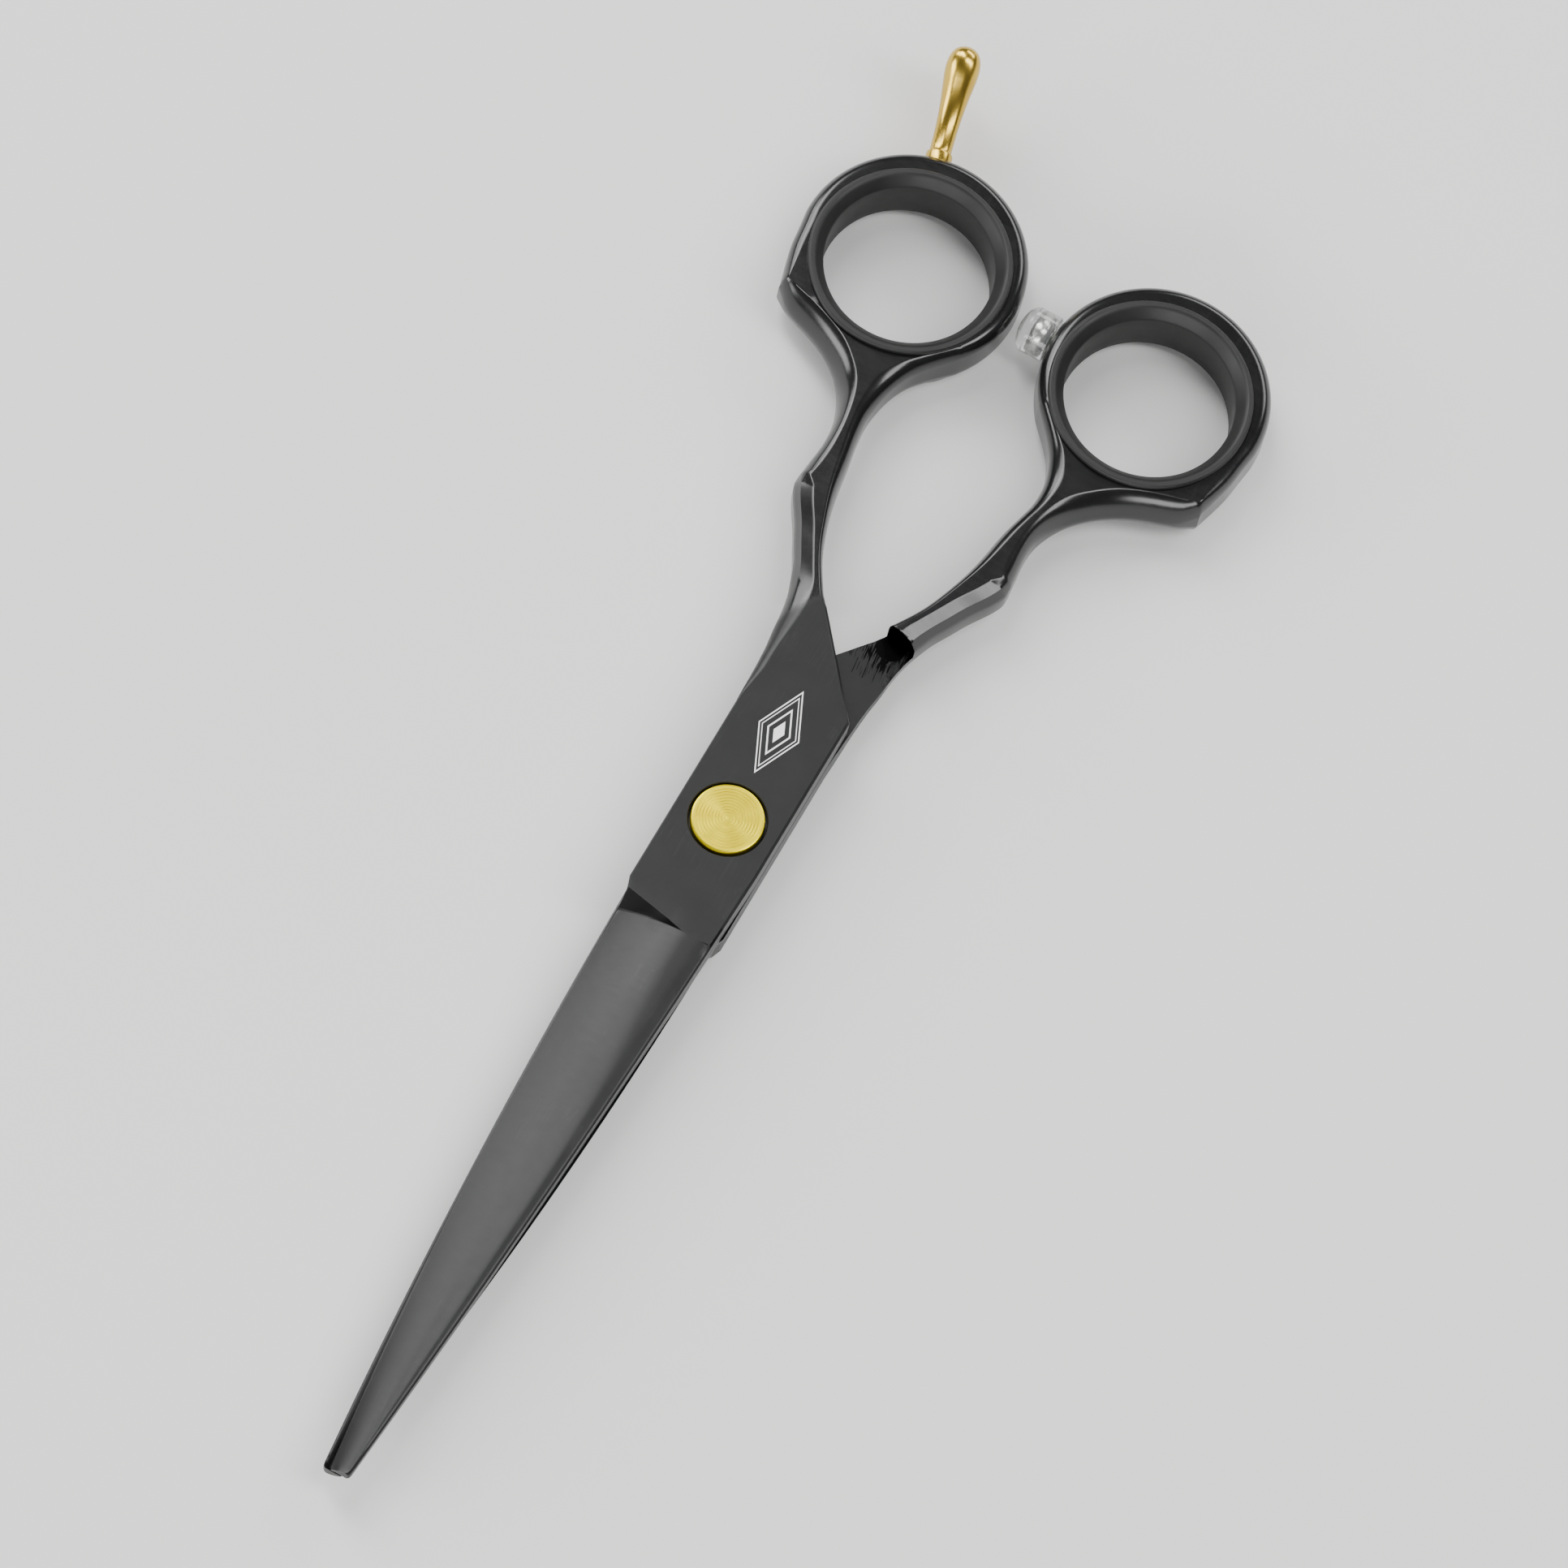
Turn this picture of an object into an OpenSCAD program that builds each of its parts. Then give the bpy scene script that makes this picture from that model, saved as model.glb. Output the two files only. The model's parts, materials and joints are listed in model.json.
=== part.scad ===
// Hair cutting shears, right-handed, lying closed with the screw head up.
// The working frame has the pivot axis at x = y = 0, the blade tips towards +Y and z = 0
// in the plane where the two halves meet. Each piece is then set on the table by placed().

/* [Blades] */
// Distance from the pivot to the blade tips
blade_reach = 81; // [70:1:95]
// Width of a blade at the pivot
blade_w = 11.3; // [10:0.1:13]
// Thickness of a blade at the pivot
blade_t = 3.1; // [2.6:0.1:3.6]
// Thickness of a blade's back at the tip
tip_t = 1.3; // [0.9:0.1:1.8]
// Distance from the pivot to the step where the hollow of the grind starts
grind_y = 12; // [10:0.5:16]
// Distance from the centre line to a blade's back at the tip
tip_back = 1.5; // [1:0.1:2.5]
// Distance from the centre line to a blade's edge at the tip
tip_edge = 0.7; // [0.4:0.1:1.2]
// Outward bow of the finger blade's back
finger_back_bow = 0.5; // [0:0.05:1]
// Outward bow of the thumb blade's back
thumb_back_bow = 0.95; // [0:0.05:1.2]
// Outward bow of both cutting edges
edge_bow = 1.05; // [0:0.05:1.4]
// Thickness left at a cutting edge
edge_t = 0.15; // [0.1:0.05:0.3]
// Depth of the hollow ground into a blade's inner face
hollow = 0.12; // [0.05:0.01:0.2]
// Gap between the inner faces of the two halves
face_gap = 0.2; // [0.16:0.02:0.3]

/* [Handles] */
// Finger ring hole centre, across and along from the pivot
finger_ring = [14.1, -65.9];
// Thumb ring hole centre, seen from its own side of the shears
thumb_ring = [15, -65.4];
// Radius of a ring's metal bore
ring_bore_r = 10.4; // [9.5:0.1:11]
// Outer radius of a ring
ring_r = 12.4; // [12:0.1:13]
// Height of a ring
ring_h = 6.6; // [6.4:0.1:7]
// Radius of a ring's rounded outer corners
ring_round = 1.4; // [0.5:0.1:2]
// Radius from the pivot inside which one half is cut away to pass the other
swing_r = 28.4; // [26:0.2:30]

/* [Ring inserts] */
// Radius of the hole that a finger goes through
insert_hole_r = 9.1; // [8:0.1:9.5]
// Radius of the lip that covers the ring's inner edge
insert_lip_r = 10.9; // [10.6:0.1:11.4]
// Height over both lips
insert_h = 8; // [7.6:0.1:8.4]

/* [Pivot] */
// Radius of the gold screw head
head_r = 3.85; // [3.4:0.05:4.4]
// How far the screw head stands above the blade
head_proud = 0.25; // [0.2:0.05:0.8]
// Radius of the screw's bearing shank
shank_r = 2; // [1.6:0.1:2.4]
// Radius of the screw's threaded end
thread_r = 1.5; // [1.2:0.1:1.6]
// Radius of the tension nut on the back
nut_r = 4; // [3.5:0.1:4.4]
// Running clearance on the radius of a turning fit
run_fit = 0.05; // [0.03:0.01:0.09]

/* [Finger rest and bumper] */
// Length of the finger rest outside the ring
rest_len = 12.4; // [10:0.2:16]
// Rise of the finger rest's end above its root
rest_rise = 5.2; // [0:0.2:6]
// Radius of the finger rest's threaded stud
stud_r = 1.25; // [1:0.05:1.5]
// Radius of the bumper between the rings
bumper_r = 2.6; // [2:0.1:3]
// How far the bumper stands out of the thumb ring
bumper_len = 3.9; // [2.5:0.1:4]

/* [Hidden] */
$fn = 96;

black = "#1c1c1d";
rubber = "#131313";
gold = "#d8a824";
nylon = "#e8e6df";
steel = "#b9bcc0";
clear = "#cfd6da";

half_gap = face_gap / 2;
face_z = half_gap + blade_t;          // outer face of a blade at the pivot
half_w = blade_w / 2;
weld_y = -18;                         // butt weld between a blade and its handle
heel_y = -16;                         // corner where a blade's back turns into the handle
back_start = 4;                       // where a blade's back starts to taper
neck_back = [3, -26.8];               // end of the straight neck on the back side
neck_slope = (neck_back.x + half_w) / (neck_back.y - heel_y);
weld_back = -half_w + neck_slope * (weld_y - heel_y);
weld_edge = 6;
ring_shift = [0.15, -1.1];            // outer circle of a ring from its hole's centre
over = 1;                             // how far a cutting shape runs past a face

head_t = 1.2;
head_seat = face_z + head_proud - head_t;
head_gap = 0.25;
neck_w = 4.4;                         // square neck that keeps the screw from turning
neck_t = 1.5;
bush_r = 2.9;
washer_r = 4.8;
washer_t = 0.5;
washer_seat = half_gap + 0.35;
nut_pocket_r = 4.6;
nut_pocket_z = -2.1;
nut_washer_t = 0.3;
spring_t = 0.15;
spring_wave = 0.1;
spring_in = 2.2;
spring_out = 3.6;
nut_top = -2.8;
nut_base = -insert_h / 2;
slot_w = 1.1;
slot_d = 0.5;

collar_r = 1.45;
stud_len = 2.4;
bumper_y = -1.9;                      // bumper axis along Y from the thumb hole's centre
bumper_plug_r = 1.1;

rest_root = finger_ring + ring_shift + ring_r * [sin(15.3), -cos(15.3)];
rest_aim = (rest_root - finger_ring) / norm(rest_root - finger_ring);
rest_turn = atan2(rest_aim.y, rest_aim.x);
rest_end_r = 1.88;
rest_reach = rest_root.y + rest_aim.y * rest_len;

table_shift = [(thumb_ring.x - finger_ring.x) / 2, -(blade_reach + rest_reach) / 2, insert_h / 2];

// A quadratic curve from a to c that leaves and arrives pointing at b.
function bend(a, b, c, n = 12) =
    [for (i = [0 : n]) let (t = i / n) (1 - t) * (1 - t) * a + 2 * t * (1 - t) * b + t * t * c];

// The side faces of a stack of closed loops of n points, wound outwards.
function side_faces(rows, n) =
    [for (i = [0 : rows - 2], j = [0 : n - 1])
        let (a = i * n + j, b = i * n + (j + 1) % n)
        each [[a, a + n, b], [b, a + n, b + n]]];

function ramp(y, a, b) = (y - a) / (b - a);
function bowed(t, from, to, bow) = from + (to - from) * t + 4 * bow * t * (1 - t);

// Distances of a blade's back and edge from the centre line. The back is at -x.
function back_x(y, bow) =
    y < heel_y ? -half_w + neck_slope * (y - heel_y)
    : y < back_start ? -half_w
    : -bowed(ramp(y, back_start, blade_reach), half_w, tip_back, bow);
function edge_x(y) =
    y < -grind_y ? half_w + (weld_edge - half_w) * ramp(y, -grind_y, weld_y)
    : y < grind_y ? half_w
    : bowed(ramp(y, grind_y, blade_reach), half_w - 0.4, tip_edge, edge_bow);
function back_t(y) = y < grind_y ? blade_t : blade_t + (tip_t - blade_t) * ramp(y, grind_y, blade_reach);

// Height of a blade's outer face at the share u of the way from its back to its edge.
flat_share = 0.35;
function dome(u) = u < flat_share ? 1 : 1 - pow((u - flat_share) / (1 - flat_share), 2);
function outer_z(y, u) =
    half_gap + (y <= grind_y ? blade_t : edge_t + (back_t(y) - edge_t) * dome(u));

top_shares = [0, 0.2, flat_share, 0.5, 0.62, 0.74, 0.84, 0.93, 1];
ground_steps = 26;
function blade_loop(y, skew, bow) =
    let (b = back_x(y, bow), e = edge_x(y), dip = y > grind_y ? hollow : 0)
    concat([for (u = top_shares) [b + (e - b) * u, y - skew * u, outer_z(y, u)]],
           [[e, y - skew, half_gap], [(b + e) / 2, y - skew / 2, half_gap + dip], [b, y, half_gap]]);

module placed() {
    translate(table_shift) children();
}

// The thumb half is the finger half's design turned over about the Y axis.
module thumb_side() {
    placed() rotate([0, 180, 0]) children();
}

module blade_blank(bow) {
    notch = 1;
    loops = concat(
        [for (y = [weld_y, heel_y, -grind_y, back_start]) blade_loop(y, 0, bow)],
        [blade_loop(grind_y, notch, bow), blade_loop(grind_y + 0.8, notch, bow)],
        [for (i = [1 : ground_steps])
            let (t = i / ground_steps)
            blade_loop(grind_y + 0.8 + (blade_reach - grind_y - 0.8) * t, notch * (1 - t), bow)]);
    n = len(loops[0]);
    rows = len(loops);
    hub = n - 2;                      // the inner face's middle point, which sees every other one
    heel = [for (j = [0 : n - 1]) if (j != hub && (j + 1) % n != hub) [hub, j, (j + 1) % n]];
    tip = [for (f = heel) [for (k = [2, 1, 0]) (rows - 1) * n + f[k]]];
    polyhedron([for (loop = loops) each loop], concat(heel, tip, side_faces(rows, n)));
}

// Outline of a handle around its ring hole at c, from the weld to the ring.
function handle_outline(c) =
    let (corner = c + [10.8, 8.7], bump = [12.5, -37.7], waist = [8.5, -42])
    concat(
        [[weld_edge, weld_y], [weld_back, weld_y]],
        bend(neck_back, [7.2, -33], waist),
        bend(waist, [11.8, -50.6], c + [-10, 5.1]),
        [c, c + [12.3, 2.6]],
        bend(corner, [14.6, -53.6], [12.2, -45.2]),
        bend(bump, [6.6, -28.6], [weld_edge, weld_y]));

module ring_puck(c) {
    r = ring_round;
    translate([c.x + ring_shift.x, c.y + ring_shift.y, 0])
        rotate_extrude()
            difference() {
                translate([0, -ring_h / 2]) square([ring_r, ring_h]);
                for (s = [-1, 1])
                    translate([ring_r - r, s * (ring_h / 2 - r)])
                        difference() {
                            translate([0, s > 0 ? 0 : -r - over]) square(r + over);
                            circle(r);
                        }
            }
}

module handle_blank(c) {
    difference() {
        union() {
            translate([0, 0, -face_z]) linear_extrude(2 * face_z) polygon(handle_outline(c));
            ring_puck(c);
        }
        translate([0, 0, -face_z - over]) cylinder(r = swing_r, h = face_z + over + half_gap);
        translate([c.x, c.y, -ring_h]) cylinder(r = ring_bore_r, h = 2 * ring_h);
    }
}

module finger_blade() {
    color(black) placed()
        difference() {
            blade_blank(finger_back_bow);
            translate([0, 0, head_seat]) cylinder(r = head_r + head_gap, h = head_t + over);
            translate([0, 0, -over]) cylinder(r = shank_r + run_fit, h = blade_t + 2 * over);
            cube_w = neck_w + 2 * run_fit;
            translate([-cube_w / 2, -cube_w / 2, head_seat - neck_t]) cube([cube_w, cube_w, neck_t + over]);
        }
}

module thumb_blade() {
    color(black) thumb_side()
        difference() {
            blade_blank(thumb_back_bow);
            translate([0, 0, -nut_pocket_z]) cylinder(r = nut_pocket_r, h = blade_t);
            translate([0, 0, -over]) cylinder(r = bush_r, h = blade_t + 2 * over);
            translate([0, 0, -over]) cylinder(r = washer_r + run_fit, h = over + washer_seat);
        }
}

module finger_handle() {
    color(black) placed()
        difference() {
            handle_blank(finger_ring);
            translate([rest_root.x, rest_root.y, 0]) rotate([0, 0, rest_turn])
                translate([-stud_len, 0, 0]) rotate([0, 90, 0])
                    cylinder(r = stud_r + run_fit, h = stud_len + over);
        }
}

module thumb_handle() {
    color(black) thumb_side()
        difference() {
            handle_blank(thumb_ring);
            translate([thumb_ring.x - ring_r - over, thumb_ring.y + bumper_y, 0]) rotate([0, 90, 0])
                cylinder(r = bumper_plug_r, h = ring_r + over - ring_bore_r);
        }
}

// A rubber ring with a lip over each face of the metal ring and a flared mouth.
module ring_insert() {
    wall_r = ring_bore_r - run_fit;
    mouth_r = insert_lip_r - 0.5;
    mouth_z = insert_h / 2 - 1.3;
    top = insert_h / 2;
    lip = ring_h / 2;
    rotate_extrude()
        polygon([[insert_hole_r, -mouth_z], [mouth_r, -top], [insert_lip_r, -top], [insert_lip_r, -lip],
                 [wall_r, -lip], [wall_r, lip], [insert_lip_r, lip], [insert_lip_r, top],
                 [mouth_r, top], [insert_hole_r, mouth_z]]);
}

module finger_ring_insert() {
    color(rubber) placed() translate([finger_ring.x, finger_ring.y, 0]) ring_insert();
}

module thumb_ring_insert() {
    color(rubber) thumb_side() translate([thumb_ring.x, thumb_ring.y, 0]) ring_insert();
}

// A curved horn: round sections along x that rise along a gentle arc and swell to a round end.
module rest_horn() {
    sides = 20;
    steps = 22;
    waist_r = 1.2;
    function swell(t) = waist_r + (rest_end_r - waist_r) * pow(min(1, t / 0.8), 2);
    function close(t) = t < 0.82 ? 1 : sqrt(max(0.02, 1 - pow((t - 0.82) / 0.18, 2)));
    loops = [for (i = [0 : steps])
        let (t = i / steps, x = collar_r + (rest_len - collar_r) * t, z = rest_rise * t * t,
             lean = atan(2 * rest_rise * t / rest_len), r = swell(t) * close(t))
        [for (j = [0 : sides - 1])
            let (a = 360 * j / sides)
            [x - r * sin(a) * sin(lean), r * cos(a), z + r * sin(a) * cos(lean)]]];
    first = [for (j = [0 : sides - 1]) j];
    last = [for (j = [sides - 1 : -1 : 0]) steps * sides + j];
    polyhedron([for (loop = loops) each loop], concat([first, last], side_faces(steps + 1, sides)));
}

module finger_rest() {
    root_gap = 0.15;
    color(gold) placed() translate([rest_root.x, rest_root.y, 0]) rotate([0, 0, rest_turn]) {
        rotate([0, 90, 0]) translate([0, 0, root_gap]) cylinder(r = collar_r, h = collar_r);
        rotate([0, 90, 0]) translate([0, 0, root_gap - stud_len]) cylinder(r = stud_r, h = stud_len);
        rest_horn();
    }
}

// A clear dome with a plug pressed into the thumb ring.
module bumper() {
    wall = ring_r - ring_shift.x;
    color(clear) thumb_side() translate([thumb_ring.x - wall, thumb_ring.y + bumper_y, 0])
        rotate([0, -90, 0])
            rotate_extrude()
                polygon(concat([[0, -1.8], [bumper_plug_r, -1.8], [bumper_plug_r, 0.05], [bumper_r, 0.05]],
                               bend([bumper_r, bumper_len - 1.2], [bumper_r, bumper_len], [0, bumper_len])));
}

module pivot_screw() {
    color(gold) placed() {
        translate([0, 0, head_seat]) cylinder(r = head_r, h = head_t);
        translate([-neck_w / 2, -neck_w / 2, head_seat - neck_t]) cube([neck_w, neck_w, neck_t + 0.1]);
        translate([0, 0, nut_pocket_z]) cylinder(r = shank_r, h = head_seat - nut_pocket_z);
        translate([0, 0, nut_base + slot_d]) cylinder(r = thread_r, h = head_seat - nut_base - slot_d);
    }
}

module washer(inner, outer, low, high) {
    translate([0, 0, low])
        difference() {
            cylinder(r = outer, h = high - low);
            translate([0, 0, -over]) cylinder(r = inner, h = high - low + 2 * over);
        }
}

module pivot_bush() {
    color(nylon) placed() washer(shank_r + run_fit, bush_r - 0.01, nut_pocket_z, half_gap - 0.05);
}

module pivot_washer() {
    color(nylon) placed() washer(bush_r + 0.05, washer_r, -washer_seat, washer_t - washer_seat);
}

module nut_washer() {
    color(nylon) placed() washer(shank_r + run_fit, spring_out + 0.4, nut_pocket_z - nut_washer_t, nut_pocket_z);
}

// A thin steel ring that rises and falls three times round its circle.
module wave_spring() {
    steps = 72;
    waves = 3;
    mid = (nut_top + nut_pocket_z - nut_washer_t) / 2;
    loops = [for (i = [0 : steps - 1])
        let (a = 360 * i / steps, z = mid + spring_wave * sin(waves * a))
        for (c = [[spring_in, -0.5], [spring_out, -0.5], [spring_out, 0.5], [spring_in, 0.5]])
            [c[0] * cos(a), c[0] * sin(a), z + c[1] * spring_t]];
    count = 4 * steps;
    faces = [for (i = [0 : steps - 1], j = [0 : 3])
        let (a = i * 4 + j, b = i * 4 + (j + 1) % 4, c = (a + 4) % count, d = (b + 4) % count)
        each [[a, c, b], [b, c, d]]];
    color(steel) placed() polyhedron(loops, faces);
}

module tension_nut() {
    color(gold) placed()
        difference() {
            translate([0, 0, nut_base]) cylinder(r = nut_r, h = nut_top - nut_base);
            translate([0, 0, nut_base - over]) cylinder(r = thread_r + run_fit, h = nut_top - nut_base + 2 * over);
            translate([-nut_r - over, -slot_w / 2, nut_base - over])
                cube([2 * (nut_r + over), slot_w, slot_d + over]);
        }
}

finger_blade();
finger_handle();
thumb_blade();
thumb_handle();
finger_ring_insert();
thumb_ring_insert();
finger_rest();
bumper();
pivot_screw();
pivot_bush();
pivot_washer();
nut_washer();
wave_spring();
tension_nut();
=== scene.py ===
# %% [markdown]
# # Hair cutting shears
# The pair lies closed on a table with the screw head up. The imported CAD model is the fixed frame:
# it says where every piece is and how it moves. This lesson builds the visible pieces around it.

# %% The fixed frame
import json
import math
import bmesh
import bpy
from mathutils import Matrix, Vector


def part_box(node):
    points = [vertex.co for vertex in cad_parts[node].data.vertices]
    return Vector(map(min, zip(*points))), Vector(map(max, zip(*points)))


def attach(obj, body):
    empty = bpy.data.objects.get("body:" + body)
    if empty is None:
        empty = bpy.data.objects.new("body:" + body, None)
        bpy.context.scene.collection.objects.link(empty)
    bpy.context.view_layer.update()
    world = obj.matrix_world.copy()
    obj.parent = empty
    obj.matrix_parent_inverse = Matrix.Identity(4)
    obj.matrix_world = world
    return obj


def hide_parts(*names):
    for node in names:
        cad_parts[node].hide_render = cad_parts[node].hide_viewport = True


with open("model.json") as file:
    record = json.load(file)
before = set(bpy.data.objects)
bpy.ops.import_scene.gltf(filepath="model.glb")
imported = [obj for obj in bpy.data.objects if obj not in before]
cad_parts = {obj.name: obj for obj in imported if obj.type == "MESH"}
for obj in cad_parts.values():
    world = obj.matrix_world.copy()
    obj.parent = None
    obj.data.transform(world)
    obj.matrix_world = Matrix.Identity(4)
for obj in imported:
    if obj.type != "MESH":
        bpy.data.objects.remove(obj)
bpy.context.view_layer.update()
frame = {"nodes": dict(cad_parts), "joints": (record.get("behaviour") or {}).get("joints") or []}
nodes = frame["nodes"]
print("nodes:", sorted(nodes))

# %% [markdown]
# ## Where to measure from
# A shears maker measures everything from the pivot screw and from the plane in which the two
# halves slide on each other. The lesson does the same, in millimetres: the pivot is at x = y = 0,
# the blade tips point towards +Y and z = 0 is the sliding plane. `set_down` then puts a finished
# piece where the CAD says. The thumb half is the finger half's design turned over, so it gets a
# half turn about Y first.

# %% The bench frame
MM = 0.001
low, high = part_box("pivot_screw")
finger_low, thumb_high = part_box("finger_blade")[0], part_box("thumb_blade")[1]
PIVOT = Vector(((low.x + high.x) / 2, (low.y + high.y) / 2, (finger_low.z + thumb_high.z) / 2))
HALF_GAP = (finger_low.z - thumb_high.z) / 2 / MM
REACH = (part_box("finger_blade")[1].y - PIVOT.y) / MM
FACE = (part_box("finger_blade")[1].z - PIVOT.z) / MM
print(f"pivot at {[round(c / MM, 2) for c in PIVOT]} mm, outer face {FACE:.2f}, tips at {REACH:.2f}")


def hole_centre(node, turned):
    lo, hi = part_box(node)
    x, y = (lo.x + hi.x) / 2 - PIVOT.x, (lo.y + hi.y) / 2 - PIVOT.y
    return Vector((-x if turned else x, y)) / MM


FINGER_HOLE = hole_centre("finger_ring_insert", False)
THUMB_HOLE = hole_centre("thumb_ring_insert", True)
print("hole centres, each from its own side:", FINGER_HOLE[:], THUMB_HOLE[:])


def set_down(bm, turned=False):
    if turned:
        bmesh.ops.rotate(bm, verts=bm.verts, matrix=Matrix.Rotation(math.pi, 3, "Y"))
    bmesh.ops.scale(bm, vec=(MM, MM, MM), verts=bm.verts)
    bmesh.ops.translate(bm, vec=PIVOT, verts=bm.verts)


# %% [markdown]
# ## From a bmesh to a piece
# Every piece ends the same way: doubles merged, normals outward, smooth shading that stays crisp
# where two faces meet at more than a set angle, and a Weighted Normal modifier so that a flat face
# stays flat to the eye right up to its rounded rim. A shell that came out with its faces turned
# inwards has a negative volume, and is turned round.

# %% Finishing a piece
MERGE_DISTANCE = 1e-7


def make_piece(bm, name, body, replaced=(), crisp=32):
    bmesh.ops.remove_doubles(bm, verts=bm.verts, dist=MERGE_DISTANCE)
    bmesh.ops.recalc_face_normals(bm, faces=bm.faces)
    if bm.calc_volume(signed=True) < 0:
        bmesh.ops.reverse_faces(bm, faces=bm.faces)
    level = [e for e in bm.edges
             if len(e.link_faces) == 2 and all(abs(f.normal.z) > 0.99999 for f in e.link_faces)]
    bmesh.ops.dissolve_limit(bm, angle_limit=math.radians(0.2), use_dissolve_boundaries=False, verts=[],
                             edges=level, delimit=set())
    mesh = bpy.data.meshes.new(name)
    bm.to_mesh(mesh)
    bm.free()
    mesh.shade_smooth()
    mesh.set_sharp_from_angle(angle=math.radians(crisp))
    piece = bpy.data.objects.new(name, mesh)
    bpy.context.scene.collection.objects.link(piece)
    even = piece.modifiers.new("even_normals", "WEIGHTED_NORMAL")
    even.keep_sharp = True
    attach(piece, body)
    if replaced:
        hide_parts(*replaced)
    print(f"{name}: {len(mesh.polygons)} faces on {body}")


# %% [markdown]
# ## Three ways to make a shape
# `skin` draws a closed loop of vertices and extrudes it from section to section, as a smith draws
# out a bar: it makes the blades and handles. `turn` spins half a profile round an axis, as on a
# lathe: it makes the screw, nut, rubber rings, bumper and finger rest. `carve` cuts one shape out
# of another with a Boolean, where a cutter or a drill would take metal away.

# %% Drawing out a bar
def loop_edges(bm, loop):
    return [bm.edges.get((a, b)) for a, b in zip(loop, loop[1:] + loop[:1])]


def skin(bm, sections):
    loop = bmesh.ops.create_circle(bm, segments=len(sections[0]), radius=1)["verts"]
    for vert, point in zip(loop, sections[0]):
        vert.co = point
    first = list(loop)
    for section in sections[1:]:
        new = set(g for g in bmesh.ops.extrude_edge_only(bm, edges=loop_edges(bm, loop))["geom"]
                  if isinstance(g, bmesh.types.BMVert))
        loop = [next(e.other_vert(v) for e in v.link_edges if e.other_vert(v) in new) for v in loop]
        for vert, point in zip(loop, section):
            vert.co = point
    return first, loop


# %% Turning on a lathe
def turn(profile, steps=96):
    """A closed round piece from (radius, height) points that start and end on the axis or close up."""
    bm = bmesh.new()
    verts = [bm.verts.new((r, 0, z)) for r, z in profile]
    edges = [bm.edges.new(pair) for pair in zip(verts, verts[1:])]
    if profile[0][0] > 0:
        edges.append(bm.edges.new((verts[-1], verts[0])))
    bmesh.ops.spin(bm, geom=verts + edges, cent=(0, 0, 0), axis=(0, 0, 1), dvec=(0, 0, 0),
                   angle=2 * math.pi, steps=steps, use_merge=True, use_duplicate=False)
    bmesh.ops.remove_doubles(bm, verts=bm.verts, dist=1e-4)
    bmesh.ops.recalc_face_normals(bm, faces=bm.faces)
    return bm


# %% Carving with a Boolean
def carve(bm, cutter):
    """Cuts one bmesh out of another with an exact Boolean and gives back the result."""
    objects = []
    for source in (bm, cutter):
        bmesh.ops.recalc_face_normals(source, faces=source.faces)
        mesh = bpy.data.meshes.new("carving")
        source.to_mesh(mesh)
        source.free()
        objects.append(bpy.data.objects.new("carving", mesh))
        bpy.context.scene.collection.objects.link(objects[-1])
    body, tool = objects
    cut = body.modifiers.new("cut", "BOOLEAN")
    cut.operation, cut.solver, cut.object = "DIFFERENCE", "EXACT", tool
    bpy.context.view_layer.update()
    result = bmesh.new()
    evaluated = body.evaluated_get(bpy.context.evaluated_depsgraph_get())
    result.from_mesh(evaluated.to_mesh())
    evaluated.to_mesh_clear()
    for used in objects:
        bpy.data.objects.remove(used)
    return result


# %% [markdown]
# ## The blades
# A blade is a flat bar around the pivot. In front of the pivot its outer face is ground convex,
# down to the cutting edge, and a notch marks where the grinding wheel came in. The inner face is
# hollow, so that only a narrow land touches the other blade. The back has one narrow bevel all
# the way. Rows of one section are drawn out along Y: a station has a back, an edge and a crown.

# %% The plan of a blade
WELD = -18.0
HEEL = Vector((-5.65, -16.0))
NECK = Vector((3.0, -26.8))
GRIND = 13.2
NOTCH_X = -2.3
BACK_FROM = 4.0


def mix(a, b, t):
    return a + (b - a) * t


def smooth(t):
    t = max(0.0, min(1.0, t))
    return t * t * (3 - 2 * t)


def back_line(y, bow):
    if y < HEEL.y:
        return mix(HEEL.x, NECK.x, (y - HEEL.y) / (NECK.y - HEEL.y))
    if y < BACK_FROM:
        return HEEL.x
    t = (y - BACK_FROM) / (REACH - BACK_FROM)
    return -(mix(-HEEL.x, 1.5, t) + 4 * bow * t * (1 - t))


def edge_line(y):
    if y < -12:
        return mix(5.65, 6.0, (y + 12) / (WELD + 12))
    if y < 12:
        return 5.65
    t = (y - 12) / (REACH - 12)
    return mix(5.25, 0.7, t) + 4.2 * t * (1 - t)


def back_thickness(y):
    return mix(FACE - HALF_GAP, 1.3, max(0.0, (y - 12) / (REACH - 12)))


print(f"ground from {GRIND} to {REACH:.1f} mm, {back_thickness(0):.2f} mm thick at the pivot")

# %% The crown of a blade
ACROSS = 22
EDGE_LEFT = 0.15
HOLLOW = 0.12
BEVEL = 0.28
ROLL, ROLL_SHARE = 0.16, 0.15


def roll_off(share):
    """The ground face rolls over a little at the back, which draws a bright band along it."""
    return ROLL * max(0.0, 1 - share / ROLL_SHARE) ** 2


def crown(y, share):
    """Height of the ground face at a share of the way from the back to the edge."""
    flat = mix(0.27, 0.04, smooth((y - GRIND) / 34))
    fall = max(0.0, (share - flat) / (1 - flat)) ** 1.85
    return HALF_GAP + EDGE_LEFT + (back_thickness(y) - EDGE_LEFT) * (1 - fall) - roll_off(share)


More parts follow.
